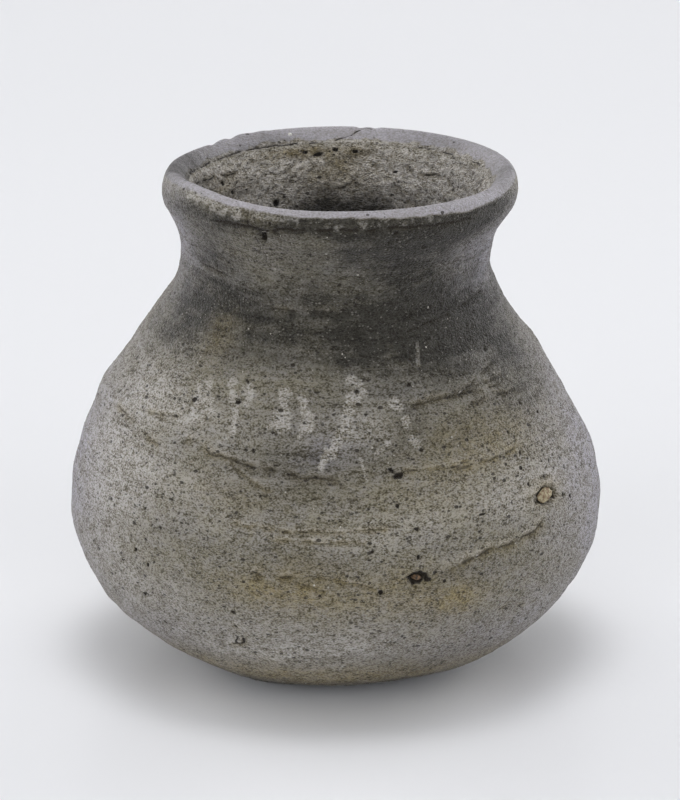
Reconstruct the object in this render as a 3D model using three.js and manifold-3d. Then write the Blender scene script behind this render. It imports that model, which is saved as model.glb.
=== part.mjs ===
// A small earthenware pot, made the way a potter makes one: a beaten base, four straps of clay for the
// wall, a neck collar and a turned-out lip, each luted to the one below with an oblique lap.
// Three coarse stones of the clay's temper stand in pits of their own.
// Millimetres, +Z up, standing on z = 0 with the front towards -Y.
import * as THREE from "three";
import { mergeVertices } from "three/addons/utils/BufferGeometryUtils.js";
import Module from "manifold-3d";

const wasm = await Module();
wasm.setup();

// Landmarks of the outside, from the table up
const restRadius = 17; // worn flat patch that the pot stands on
const bellyRadius = 53.1; // widest part
const bellyHeight = 31.5;
const waistRadius = 30.7; // narrowest part of the neck
const bellyToWaist = 50.5;
const lipRadius = 35.1; // outer edge of the lip
const waistToLip = 14;
const lipToCrest = 4.1;
const crestInset = 1.8; // from the lip's outer edge in to its crest
const bevelRun = 3.4; // broad bevel inside the crest, measured inwards
const bevelDrop = 2.4; // and downwards

// Thickness of the fired clay
const baseThickness = 6.5;
const bellyWall = 5.6;
const neckWall = 4.5;

// How full each curve of the wall is drawn, as shares of its own run or rise
const undersideFullness = 0.61;
const heelFullness = 0.4;
const bellyFullness = 0.47;
const shoulderFullness = 0.21;
const neckFullness = 0.66;
const lipFullness = 0.3;
const bevelRoundness = 0.35; // softness of the crest and of the bevel's inner edge

// Oblique laps between the sections
const lap = 5; // how far the joint runs down from the outside to the inside
const jointGap = 0.3;
const seamEase = 0.6; // worn edge on each side of a seam, seen from outside

// Spiral ridges left by the fingers
const ridgePitch = 8.5;
const outerRidge = 0.1;
const innerRidge = 0.45;

// The pot is not quite true
const shoulderLean = 0.9; // the shoulder leans to the left
const leanShare = 0.6; // of the way from the belly up to the waist
const leanReach = 15; // how far up and down the wall that lean is felt
const lipLean = 0.9; // the lip leans to the right
const lipTilt = 0.4; // the lip stands higher in front than behind
const lipRise = 1.2; // the lip curls up at the front left
const lipRiseAngle = -147; // degrees round from +X
const lipSag = 0.6; // and sags at the back left
const lipSagAngle = 146;
const lipChangeSpread = 22; // how far round a rise or a sag is felt

// Coarse stones of the temper: along the wall, up the wall, through the wall, and how deep each centre lies
const stoneClearance = 0.3;
const bellyStoneLength = 2.1;
const bellyStoneWidth = 2;
const bellyStoneDepth = 2.2;
const bellyStoneSunk = 0.7;
const bellyPitRoom = 0.8; // the belly stone stands loose in a wider pit
const lowerStoneLength = 2.2;
const lowerStoneWidth = 1.2;
const lowerStoneDepth = 1.8;
const lowerStoneSunk = 0.6;
const quartzLength = 1.2;
const quartzWidth = 0.9;
const quartzDepth = 1.4;
const quartzSunk = 0.3;

// Fineness of the solids
const facets = 56;
const profileStep = 3.1;

const bellyPoint = new THREE.Vector2(bellyRadius, bellyHeight);
const waistPoint = new THREE.Vector2(waistRadius, bellyHeight + bellyToWaist);
const lipPoint = new THREE.Vector2(lipRadius, waistPoint.y + waistToLip);
const crestPoint = new THREE.Vector2(lipRadius - crestInset, lipPoint.y + lipToCrest);
const bevelPoint = new THREE.Vector2(crestPoint.x - bevelRun, crestPoint.y - bevelDrop);
const bevelFall = new THREE.Vector2(-bevelRun, -bevelDrop);

// A curve of the underside, which leaves the flat patch level and reaches the belly upright
function undersideCurve(from, to) {
  return new THREE.CubicBezierCurve(
    from,
    new THREE.Vector2(from.x + (to.x - from.x) * undersideFullness, from.y),
    new THREE.Vector2(to.x, to.y - (to.y - from.y) * heelFullness),
    to,
  );
}

// A curve of the wall, upright at both ends
function wallCurve(from, to, fullnessBelow, fullnessAbove) {
  const rise = to.y - from.y;
  return new THREE.CubicBezierCurve(
    from,
    new THREE.Vector2(from.x, from.y + rise * fullnessBelow),
    new THREE.Vector2(to.x, to.y - rise * fullnessAbove),
    to,
  );
}

// Outside: flat patch, underside, body, neck, lip and bevel
function outsideProfile() {
  const floorCentre = new THREE.Vector2(0, 0);
  const patchEdge = new THREE.Vector2(restRadius, 0);
  const lipRoll = new THREE.EllipseCurve(
    crestPoint.x,
    lipPoint.y,
    crestInset,
    lipToCrest,
    0,
    Math.PI / 2,
  );
  const bevel = new THREE.CubicBezierCurve(
    crestPoint,
    new THREE.Vector2(crestPoint.x - bevelRun * bevelRoundness, crestPoint.y),
    bevelPoint.clone().addScaledVector(bevelFall, -bevelRoundness),
    bevelPoint,
  );
  return profile({
    floor: new THREE.LineCurve(floorCentre, patchEdge),
    underside: undersideCurve(patchEdge, bellyPoint),
    body: wallCurve(bellyPoint, waistPoint, bellyFullness, shoulderFullness),
    neck: wallCurve(waistPoint, lipPoint, neckFullness, lipFullness),
    lipRoll,
    bevel,
  });
}

// Inside: the same stretches one wall thickness in, up to the inner edge of the bevel
function insideProfile() {
  const floorCentre = new THREE.Vector2(0, baseThickness);
  const floorEdge = new THREE.Vector2(restRadius, baseThickness);
  const belly = new THREE.Vector2(bellyPoint.x - bellyWall, bellyPoint.y);
  const waist = new THREE.Vector2(waistPoint.x - neckWall, waistPoint.y);
  const throat = new THREE.CubicBezierCurve(
    waist,
    new THREE.Vector2(waist.x, waist.y + (bevelPoint.y - waist.y) * lipFullness),
    bevelPoint.clone().addScaledVector(bevelFall, bevelRoundness),
    bevelPoint,
  );
  return profile({
    floor: new THREE.LineCurve(floorCentre, floorEdge),
    underside: undersideCurve(floorEdge, belly),
    body: wallCurve(belly, waist, bellyFullness, shoulderFullness),
    neck: throat,
  });
}

// A path through named curves, each of which starts where the one before it ends
function profile(stretches) {
  const path = new THREE.CurvePath();
  for (const [name, curve] of Object.entries(stretches)) {
    curve.stretch = name;
    path.add(curve);
  }
  return path;
}

const outside = outsideProfile();
const inside = insideProfile();

// Distance along a path to a share of the way up one of its stretches
function distanceTo(path, stretch, share) {
  let before = 0;
  for (const curve of path.curves) {
    if (curve.stretch === stretch) return before + curve.getLength() * share;
    before += curve.getLength();
  }
  throw new Error("no stretch of the profile is named " + stretch);
}

function pointAt(path, distance) {
  return path.getPoint(Math.min(1, Math.max(0, distance / path.getLength())));
}

// Points of a path between two distances, with every landmark that lies between them
function pointsBetween(path, from, to) {
  const points = [pointAt(path, from)];
  let start = 0;
  for (const curve of path.curves) {
    const end = start + curve.getLength();
    const low = Math.max(from, start);
    const high = Math.min(to, end);
    if (high > low) {
      const steps = curve.isLineCurve ? 1 : Math.ceil((high - low) / profileStep);
      for (let i = 1; i <= steps; i++) {
        points.push(pointAt(path, low + ((high - low) * i) / steps));
      }
    }
    start = end;
  }
  return points;
}

// A seam of the wall: where its lap starts outside and ends inside, and half its gap along the wall
function seamAt(stretch, share) {
  const outer = distanceTo(outside, stretch, share);
  const inner = distanceTo(inside, stretch, share) - lap;
  const a = pointAt(outside, outer);
  const b = pointAt(inside, inner);
  const wall = a.distanceTo(pointAt(inside, inner + lap));
  return { outer, inner, halfGap: ((jointGap / 2) * a.distanceTo(b)) / wall };
}

// Seams, each a share of the way up one stretch of the wall
const baseSeam = seamAt("underside", 0.53);
const bellySeam = seamAt("body", 0.07);
const grooveSeam = seamAt("body", 0.395);
const bulgeSeam = seamAt("body", 0.635);
const shoulderSeam = seamAt("body", 0.98);
const lipSeam = seamAt("neck", 0.98);

// Closed outline of one section of the wall, from the seam below to the seam above, in the order
// outside up, across the joint, inside down. A section without a seam below starts on the axis,
// and one without a seam above goes over the lip.
function sectionOutline(below, above) {
  const outline = [];
  const outerStart = below ? below.outer + below.halfGap : 0;
  const outerEnd = above ? above.outer - above.halfGap : outside.getLength();
  const innerStart = below ? below.inner + below.halfGap : 0;
  const innerEnd = above ? above.inner - above.halfGap : inside.getLength();
  const outer = pointsBetween(
    outside,
    outerStart + (below ? seamEase : 0),
    outerEnd - (above ? seamEase : 0),
  );
  const inner = pointsBetween(inside, innerStart, innerEnd).reverse();
  outer.forEach((point) => outline.push({ point, ridge: outerRidge }));
  if (above) {
    outline.push({ point: easedCorner(outerEnd, innerEnd), ridge: outerRidge });
  } else {
    inner.shift(); // the bevel already ends there
  }
  inner.forEach((point) => outline.push({ point, ridge: innerRidge }));
  if (below) {
    outline.push({ point: easedCorner(outerStart, innerStart), ridge: outerRidge });
    outline.push(outline[0]);
  }
  return outline;
}

// Where a worn seam edge meets the joint, a little way in from the outside
function easedCorner(outerDistance, innerDistance) {
  const corner = pointAt(outside, outerDistance);
  const far = pointAt(inside, innerDistance);
  return corner.lerp(far, seamEase / corner.distanceTo(far));
}

// Difference of two directions round the pot, in degrees, from -180 to 180
function turnBetween(a, b) {
  return THREE.MathUtils.euclideanModulo(a - b + 180, 360) - 180;
}

function swell(distance, spread) {
  return Math.exp(-((distance / spread) ** 2));
}

// Finger ridges: a wave that climbs one pitch in each turn, dying out at the foot and in the lip
function ridgeHeight(x, y, z) {
  const foot = THREE.MathUtils.smoothstep(z, 0, bellyHeight);
  const top = 1 - THREE.MathUtils.smoothstep(z, waistPoint.y, lipPoint.y);
  return foot * top * Math.cos((2 * Math.PI * z) / ridgePitch - Math.atan2(y, x));
}

// Lean of the axis and unevenness of the lip, the same for every piece
function untrue(v) {
  const angle = THREE.MathUtils.radToDeg(Math.atan2(v.y, v.x));
  const rimShare = THREE.MathUtils.smoothstep(v.z, waistPoint.y, crestPoint.y);
  const leanHeight = bellyPoint.y + bellyToWaist * leanShare;
  const radius = Math.hypot(v.x, v.y);
  const tilt = (-lipTilt * v.y) / crestPoint.x;
  const rise = lipRise * swell(turnBetween(angle, lipRiseAngle), lipChangeSpread);
  const sag = lipSag * swell(turnBetween(angle, lipSagAngle), lipChangeSpread);
  v.x += lipLean * rimShare - shoulderLean * swell(v.z - leanHeight, leanReach);
  v.z += rimShare * (tilt + rise - sag) * Math.min(1, radius / bevelPoint.x);
  return v;
}

// Turn an outline about the axis, then give it its ridges and its unevenness
function turned(outline) {
  const lathe = new THREE.LatheGeometry(
    outline.map((o) => o.point),
    facets,
  );
  lathe.rotateX(Math.PI / 2);
  const position = lathe.getAttribute("position");
  const v = new THREE.Vector3();
  for (let i = 0; i < position.count; i++) {
    v.fromBufferAttribute(position, i);
    const radius = Math.hypot(v.x, v.y);
    const ridge = outline[i % outline.length].ridge * ridgeHeight(v.x, v.y, v.z);
    const grow = radius > 0 ? (radius + ridge) / radius : 1;
    v.x *= grow;
    v.y *= grow;
    untrue(v);
    position.setXYZ(i, v.x, v.y, v.z);
  }
  return closed(lathe);
}

// Only positions, with shared corners merged, so that the solid is closed
function closed(geometry) {
  geometry.deleteAttribute("normal");
  geometry.deleteAttribute("uv");
  return mergeVertices(geometry, 1e-4);
}

function toSolid(geometry) {
  return new wasm.Manifold(
    new wasm.Mesh({
      numProp: 3,
      vertProperties: geometry.getAttribute("position").array,
      triVerts: new Uint32Array(geometry.index.array),
    }),
  );
}

function toGeometry(solid) {
  const mesh = solid.getMesh();
  const geometry = new THREE.BufferGeometry();
  geometry.setAttribute("position", new THREE.BufferAttribute(mesh.vertProperties, 3));
  geometry.setIndex(new THREE.BufferAttribute(mesh.triVerts, 1));
  geometry.computeVertexNormals();
  return geometry;
}

// An angular stone, set square to the wall at its share of one stretch of the outside
function stoneShape(stone, growAcross, growDeep) {
  const shape = new THREE.DodecahedronGeometry(1);
  shape.scale(
    stone.length / 2 + growAcross,
    stone.width / 2 + growAcross,
    stone.depth / 2 + growDeep,
  );
  const distance = distanceTo(outside, stone.stretch, stone.share);
  const at = pointAt(outside, distance);
  const below = pointAt(outside, distance - stone.width / 2);
  const along = pointAt(outside, distance + stone.width / 2).sub(below).normalize();
  const angle = THREE.MathUtils.degToRad(stone.angle);
  const roundWall = new THREE.Vector3(-Math.sin(angle), Math.cos(angle), 0);
  const outward = new THREE.Vector3(Math.cos(angle), Math.sin(angle), 0);
  const upWall = outward.clone().multiplyScalar(along.x).setZ(along.y);
  const normal = roundWall.clone().cross(upWall);
  const place = outward.clone().multiplyScalar(at.x).setZ(at.y);
  untrue(place).addScaledVector(normal, -stone.sunk);
  shape.applyMatrix4(new THREE.Matrix4().makeBasis(roundWall, upWall, normal).setPosition(place));
  return closed(shape);
}

// The three stones that show, and the room that each one's pit leaves round it
const stones = [
  {
    name: "belly_grain",
    host: "belly_band",
    stretch: "body",
    share: 0.2,
    angle: -37,
    length: bellyStoneLength,
    width: bellyStoneWidth,
    depth: bellyStoneDepth,
    sunk: bellyStoneSunk,
    room: bellyPitRoom,
    colour: 0xb9a878,
  },
  {
    name: "lower_grain",
    host: "lower_wall",
    stretch: "body",
    share: 0.02,
    angle: -73,
    length: lowerStoneLength,
    width: lowerStoneWidth,
    depth: lowerStoneDepth,
    sunk: lowerStoneSunk,
    room: stoneClearance,
    colour: 0x6b5038,
  },
  {
    name: "rim_quartz",
    host: "rim_lip",
    stretch: "bevel",
    share: 0.45,
    angle: 109,
    length: quartzLength,
    width: quartzWidth,
    depth: quartzDepth,
    sunk: quartzSunk,
    room: stoneClearance,
    colour: 0xe6e4dd,
  },
];

// Sections of the pot from the table up, with the grey that each shows
const sections = [
  { name: "base_pad", below: null, above: baseSeam, colour: 0x6f6a64 },
  { name: "lower_wall", below: baseSeam, above: bellySeam, colour: 0x79746b },
  { name: "belly_band", below: bellySeam, above: grooveSeam, colour: 0x85817a },
  { name: "upper_belly", below: grooveSeam, above: bulgeSeam, colour: 0x817d76 },
  { name: "shoulder_band", below: bulgeSeam, above: shoulderSeam, colour: 0x6e6b67 },
  { name: "neck_collar", below: shoulderSeam, above: lipSeam, colour: 0x5c5a58 },
  { name: "rim_lip", below: lipSeam, above: null, colour: 0x7c7a7d },
];

const pot = new THREE.Group();

function addPiece(name, geometry, colour, roughness) {
  const material = new THREE.MeshStandardMaterial({ color: colour, roughness, metalness: 0 });
  const mesh = new THREE.Mesh(geometry, material);
  mesh.name = name;
  pot.add(mesh);
}

for (const { name, below, above, colour } of sections) {
  let solid = toSolid(turned(sectionOutline(below, above)));
  for (const stone of stones.filter((s) => s.host === name)) {
    solid = solid.subtract(toSolid(stoneShape(stone, stone.room, stoneClearance)));
  }
  addPiece(name, toGeometry(solid), colour, 0.9);
}
for (const stone of stones) {
  addPiece(stone.name, stoneShape(stone, 0, 0), stone.colour, 0.5);
}

// The origin is on the table, under the middle of the pot's overall width and depth
const middle = new THREE.Box3().setFromObject(pot).getCenter(new THREE.Vector3());
pot.position.set(-middle.x, -middle.y, 0);

export default pot;
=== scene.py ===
import math

import bmesh
import bpy
import numpy as np
from bpy.props import FloatProperty, FloatVectorProperty, IntProperty, PointerProperty
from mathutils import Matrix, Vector


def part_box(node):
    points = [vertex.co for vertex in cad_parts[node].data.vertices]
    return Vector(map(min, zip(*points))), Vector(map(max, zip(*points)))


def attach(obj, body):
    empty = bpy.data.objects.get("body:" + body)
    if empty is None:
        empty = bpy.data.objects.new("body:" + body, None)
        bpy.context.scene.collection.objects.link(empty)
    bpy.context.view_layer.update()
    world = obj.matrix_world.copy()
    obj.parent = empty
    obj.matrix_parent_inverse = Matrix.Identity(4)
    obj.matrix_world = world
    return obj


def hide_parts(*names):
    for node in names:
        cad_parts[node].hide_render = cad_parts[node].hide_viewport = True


bl_info = {
    "name": "Earthenware pot",
    "version": (1, 0, 0),
    "blender": (4, 5, 0),
    "location": "3D View > Sidebar > Pot",
    "description": "Builds a sandy grey earthenware pot with its seams, pits and soot",
    "category": "Object",
}

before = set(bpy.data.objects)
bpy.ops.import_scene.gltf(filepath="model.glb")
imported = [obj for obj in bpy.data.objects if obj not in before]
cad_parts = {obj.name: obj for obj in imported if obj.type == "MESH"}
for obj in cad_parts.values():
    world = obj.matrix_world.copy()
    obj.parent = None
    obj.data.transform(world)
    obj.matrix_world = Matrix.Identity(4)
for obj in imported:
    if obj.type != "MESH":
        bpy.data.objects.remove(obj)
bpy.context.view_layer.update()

MM = 0.001
BODY = "root"

# The sections of clay, from the table up: slot, spacing of the rows of the surface outside and inside in
# millimetres, and the stretch and share of the profile where the seam on top lies
SECTIONS = {
    "base_pad": ("earthenware_base", 0.9, 1.2, ("underside", 0.53)),
    "lower_wall": ("earthenware_body", 0.36, 0.9, ("body", 0.07)),
    "belly_band": ("earthenware_body", 0.36, 0.9, ("body", 0.395)),
    "upper_belly": ("earthenware_body", 0.36, 0.8, ("body", 0.635)),
    "shoulder_band": ("earthenware_shoulder", 0.36, 0.6, ("body", 0.98)),
    "neck_collar": ("earthenware_neck", 0.33, 0.4, ("neck", 0.98)),
    "rim_lip": ("earthenware_rim", 0.28, 0.33, None),
}
COLUMNS = 880
FRONT = -90.0  # degrees round from +X; the columns are closest together there
FRONT_CROWDING = 0.3
POLE_RADIUS = 0.4 * MM
JOINT_STEPS = (0.03, 0.97)
JOINT_RECESS = 0.08 * MM


def length(name, text, default):
    """A length, given in millimetres."""
    return FloatProperty(name=name, description=text, default=default * MM, unit="LENGTH", precision=5)


def share(name, text, default):
    limits = {"min": 0.0, "soft_max": 1.0}
    return FloatProperty(name=name, description=text, default=default, subtype="FACTOR", **limits)


def number(name, text, default, unit="NONE"):
    return FloatProperty(name=name, description=text, default=default, unit=unit)


def colour(name, text, red, green, blue):
    """A colour property whose default is a screen colour, each part from 0 to 255."""
    parts = np.array([red, green, blue]) / 255
    linear = np.where(parts <= 0.04045, parts / 12.92, ((parts + 0.055) / 1.055) ** 2.4)
    limits = {"default": tuple(float(part) for part in linear), "min": 0.0, "max": 1.0}
    return FloatVectorProperty(name=name, description=text, subtype="COLOR", **limits)


class PotShape(bpy.types.PropertyGroup):
    """Landmarks of the turned profile, the same as the solids'."""

    rest_radius: length("Rest radius", "Worn flat patch that the pot stands on", 17)
    belly_radius: length("Belly radius", "Widest part", 53.1)
    belly_height: length("Belly height", "Height of the widest part", 31.5)
    waist_radius: length("Waist radius", "Narrowest part of the neck", 30.7)
    waist_height: length("Waist height", "Height of the narrowest part", 82)
    lip_radius: length("Lip radius", "Outer edge of the lip", 35.1)
    lip_height: length("Lip height", "Height of the lip's outer edge", 96)
    crest_inset: length("Crest inset", "From the lip's outer edge in to its crest", 1.8)
    crest_rise: length("Crest rise", "From the lip's outer edge up to its crest", 4.1)
    bevel_run: length("Bevel run", "Width of the bevel inside the crest", 3.4)
    bevel_drop: length("Bevel drop", "Fall of the bevel inside the crest", 2.4)
    base_thickness: length("Base thickness", "Clay under the inside floor", 6.5)
    belly_wall: length("Belly wall", "Thickness of the wall at the belly", 5.6)
    neck_wall: length("Neck wall", "Thickness of the wall at the neck", 4.5)
    lap: length("Lap", "How far a joint runs down from outside to inside", 5)
    ridge_pitch: length("Ridge pitch", "Climb of the finger ridges in one turn", 8.5)
    outer_ridge: length("Outer ridge", "Height of the finger ridges outside", 0.1)
    inner_ridge: length("Inner ridge", "Height of the finger ridges inside", 0.45)
    underside_fullness: share("Underside fullness", "How far the underside runs out level", 0.61)
    heel_fullness: share("Heel fullness", "How far the underside rises upright", 0.4)
    belly_fullness: share("Belly fullness", "How far the wall rises upright", 0.47)
    shoulder_fullness: share("Shoulder fullness", "How far the wall comes upright to the neck", 0.21)
    neck_fullness: share("Neck fullness", "How far the neck rises upright", 0.66)
    lip_fullness: share("Lip fullness", "How far the neck comes upright to the lip", 0.3)
    bevel_roundness: share("Bevel roundness", "Softness of the bevel's edges", 0.35)


class PotLean(bpy.types.PropertyGroup):
    """How far the pot is from true, the same as the solids."""

    shoulder_lean: length("Shoulder lean", "Lean of the shoulder to the left", 0.9)
    lean_reach: length("Lean reach", "How far up and down the wall that lean is felt", 15)
    lean_share: share("Lean share", "Place of that lean between belly and waist", 0.6)
    lip_lean: length("Lip lean", "Lean of the lip to the right", 0.9)
    lip_tilt: length("Lip tilt", "How much higher the lip stands in front", 0.4)
    lip_rise: length("Lip rise", "Curl of the lip at the front left", 1.2)
    lip_rise_angle: number("Rise angle", "Degrees round from +X", -147)
    lip_sag: length("Lip sag", "Sag of the lip at the back left", 0.6)
    lip_sag_angle: number("Sag angle", "Degrees round from +X", 146)
    lip_change_spread: number("Change spread", "Degrees that a change reaches", 22)


class ClayRelief(bpy.types.PropertyGroup):
    """Depths of the clay's unevenness."""

    lumps: length("Lumps", "Broad unevenness left by the hands", 0.3)
    dents: length("Dents", "Unevenness a few millimetres across", 0.13)
    grit: length("Grit", "Unevenness of the sand itself", 0.05)
    turning_lines: length("Turning lines", "Depth of the fine lines of turning", 0.035)
    turning_bands: length("Turning bands", "Depth of the wider bands of turning", 0.05)
    inside_lumps: length("Inside lumps", "Unevenness of the inner wall", 0.32)
    pit_count: IntProperty(name="Pits", description="Small pits scattered over the outside", default=1300)
    inner_pit_count: IntProperty(name="Inner pits", description="Those over the inner wall", default=500)
    seed: IntProperty(name="Seed", description="Seed of everything scattered", default=17)


class ClayColours(bpy.types.PropertyGroup):
    """Colours of the fired clay and of what lies on it."""

    clay: colour("Clay", "Sandy grey clay", 124, 120, 111)
    clay_warm: colour("Warm clay", "Browner parts of the clay", 121, 116, 100)
    # Thinly limy clay, and also the colour of the painted highlight on the burrs of ledges
    pale: colour("Pale clay", "Thinly limy clay", 162, 158, 150)
    polished: colour("Wiped clay", "Smooth clay of the lip's crest and bevel", 151, 148, 152)
    # Smoke-blackened clay, and also the colour of painted shade below ledges and deep on the inner wall
    soot: colour("Soot", "Smoke-blackened clay", 41, 39, 33)
    lime: colour("Lime", "Thin whitish deposit", 158, 154, 146)
    # Painted sheen: a lilac-grey that stands in for the sheen where the wall turns away
    cool: colour("Cool clay", "Lilac-grey clay of the sides", 138, 135, 140)
    # Rusty staining, and also the brown of the painted shade along cracks and ledges
    ochre: colour("Ochre", "Rusty staining", 130, 117, 80)
    # Painted shade: the dark colour laid into pits, cracks and the grooves of ledges
    hollow: colour("Hollow", "Earth in the pits", 34, 28, 18)
    lining: colour("Lining", "Clay of the inner wall", 196, 190, 181)
    quartz: colour("Quartz", "White sand grains", 196, 192, 182)
    dark_sand: colour("Dark sand", "Dark sand grains", 52, 46, 40)
    yellow_stone: colour("Yellow stone", "Large grain in the belly", 156, 148, 120)
    brown_stone: colour("Brown stone", "Large grain low on the front", 104, 80, 56)


class TemperSand(bpy.types.PropertyGroup):
    """Sand grains that stand out of the surface."""

    density: number("Density", "Grains on a square metre", 42000)
    least: length("Least grain", "Radius of the smallest grain", 0.09)
    greatest: length("Greatest grain", "Radius of the largest grain", 0.36)
    seed: IntProperty(name="Seed", description="Seed of the grains", default=5)


class PotStage(bpy.types.PropertyGroup):
    """Floor, light and camera."""

    floor: colour("Floor", "Pale floor", 234, 235, 239)
    floor_width: number("Floor width", "Side of the floor", 6, "LENGTH")
    sky: number("Sky", "Strength of the even light all round", 0.05)
    camera_distance: number("Camera distance", "From the camera to its target", 1, "LENGTH")
    camera_elevation: number("Camera elevation", "Degrees above level", 18)
    camera_lens: number("Lens", "Focal length in millimetres", 225)
    target_across: length("Target across", "Place that the camera looks at, from the middle", 0.8)
    target_height: length("Target height", "Height of that place", 52)


SKY_COLOUR = (0.97, 0.98, 1.0, 1.0)

# Directions of the soft lights: degrees round from +X, degrees up, strength, degrees across
SOFT_LIGHTS = {
    "left_side": (180, 3, 0.32, 50),
    "left_front": (-140, 5, 1.86, 50),
    "right_front": (-40, 5, 1.76, 50),
    "left_back": (140, 5, 3.22, 50),
    "right_back": (40, 5, 3.06, 50),
    "back_light": (90, 45, 0.41, 60),
    "front_light": (-90, 45, 0.76, 60),
    "top_light": (90, 89, 0.69, 25),
    "wide_top_light": (90, 89, 0.55, 50),
}

# What the photograph shows at one place of the outside: degrees round from +X, height, length round
# the wall, width up it, degrees of tilt, depth. Millimetres.
PITS = (
    (-76.3, 52.8, 1.5, 0.8, -35, 0.7), (-74.6, 51.8, 2.3, 1.2, 22, 0.9), (-76, 46.5, 0.9, 0.8, 0, 0.5),
    (-72.5, 42, 1.5, 0.6, 0, 0.4), (-72.5, 36.6, 0.8, 0.9, 0, 0.5), (-80.6, 30.1, 1, 1.2, 0, 0.7),
    (-82.3, 38.3, 0.8, 0.8, 0, 0.4), (-66.9, 31.3, 0.8, 0.8, 0, 0.4), (-41.6, 45.7, 0.8, 0.8, 0, 0.4),
    (-31, 41.3, 1, 0.8, 0, 0.5), (-42.5, 48.9, 1.2, 1, 0, 0.25), (-28, 40.2, 0.8, 0.8, 0, 0.4),
    (-56.5, 42.8, 1.7, 0.6, 0, 0.35), (-35.4, 69.3, 1.2, 0.7, -15, 0.5), (-27.2, 56.3, 0.9, 0.8, 0, 0.4),
    (-137.2, 33.1, 0.9, 0.8, 0, 0.4), (-133.2, 30.9, 0.9, 0.8, 0, 0.4), (-136, 23.9, 0.9, 1, 0, 0.5),
    (-112.4, 24.7, 1.1, 0.6, -30, 0.4), (-114.6, 94.6, 1.4, 2.5, 12, 1.3),
    (-129.8, 62.4, 1.4, 1, 0, 0.25), (-116.3, 63.3, 1.2, 0.8, 0, 0.25), (-67.4, 66.6, 1.2, 0.6, 10, 0.4),
)

# Cracks and scratches, darkened with painted shade: points of degrees round and height, width, depth
CRACKS = {
    "crease under the lip": (
        (
            (-132, 95.9), (-122.8, 96.2), (-108.9, 96.4), (-90.1, 97), (-71.1, 96.9), (-57.2, 96.7),
            (-44.9, 96.9),
        ),
        0.55,
        0.34,
    ),
    "crescent crack": (((-112.6, 21.6), (-111.2, 19.6), (-111.6, 17.2), (-114.5, 16.4)), 0.6, 0.5),
    "scratch under the neck": (((-147, 85.1), (-134.6, 84.8)), 0.4, 0.2),
    "scratch near the table": (((-69.1, 7.1), (-63, 10.3)), 0.4, 0.15),
    "dotted row": (((-51.5, 22.3), (-40.4, 21.1)), 0.35, 0.15),
}

# Ledges of the seams and lines of turning, measured in the same way, each with painted shade below it and a
# painted highlight on its burr
LEDGES = {
    "line beside the pits": (((-73.5, 52.2), (-67.9, 52.4), (-60.2, 52.1), (-54, 52.6)), 0.45, 0.22),
    "foot of the neck, left": (((-113, 79.9), (-104.4, 79.8), (-94.6, 79.6), (-86, 79.8)), 0.45, 0.25),
    "foot of the neck, right": (
        (
            (-64.4, 75.6), (-54.9, 76.4), (-46.5, 76.9), (-36.9, 78.2), (-25, 78.5),
        ),
        0.6,
        0.45,
    ),
    "bulge seam, right": (((-71.1, 63.2), (-58, 63.6), (-48, 63.6), (-37.1, 63)), 0.5, 0.3),
    "bulge seam, upper right": (((-52, 63.8), (-44, 65.6), (-36, 66.8)), 0.5, 0.38),
    "scratch above the bulge seam, left": (((-146, 58.2), (-135, 58.8), (-124.6, 59.8)), 0.42, 0.25),
    "bulge seam, left": (((-157.6, 56.4), (-146.3, 55.2), (-136.4, 53.7)), 0.6, 0.36),
    "bulge seam, under the patches": (((-127, 55.6), (-120, 54.3), (-113, 53.4)), 0.7, 0.32),
    "groove, left": (((-113, 53.5), (-104, 52.5), (-96, 51.8), (-88.1, 51.6)), 0.8, 0.52),
    "groove, right": (((-60, 51.6), (-53.2, 51.8), (-40, 52.6)), 0.7, 0.42),
    "turning line, belly": (((-112, 42.6), (-100, 42), (-88, 42), (-78, 42.4)), 0.42, 0.2),
    "turning line, belly, lower": (((-108, 40.9), (-96, 40.2), (-84, 40.3)), 0.4, 0.18),
    "belly seam, left": (((-106, 33.4), (-98, 33.2), (-92, 33.9)), 0.9, 0.6),
    "belly seam, middle": (((-92, 33.6), (-87, 32.4), (-82, 31)), 0.5, 0.25),
    "scratch, belly": (((-114.5, 52.8), (-109, 50.8), (-104.3, 48.9)), 0.4, 0.2),
    "upper ridge, right": (((-50, 61.6), (-43, 61.9), (-36.3, 61.7)), 0.5, 0.34),
    "ridge low on the left": (((-97.2, 31.9), (-92.7, 30.6)), 0.5, 0.3),
    "belly seam, right": (
        (
            (-65, 33.9), (-60.7, 35.1), (-53.1, 35.7), (-43.8, 36.6), (-39.6, 38),
        ),
        0.9,
        0.62,
    ),
}

# Raised burrs of the seams, measured in the same way, with a depth below nought; each gets painted shade
# below it and a painted highlight above it
BURRS = {
    "upper belly, right": (((-65.2, 63.9), (-51.3, 64.1), (-42, 64.4), (-33.8, 64.6)), 0.45, -0.2),
    "upper belly, far right": (((-48.6, 63.3), (-29.8, 61)), 0.42, -0.16),
}

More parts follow.
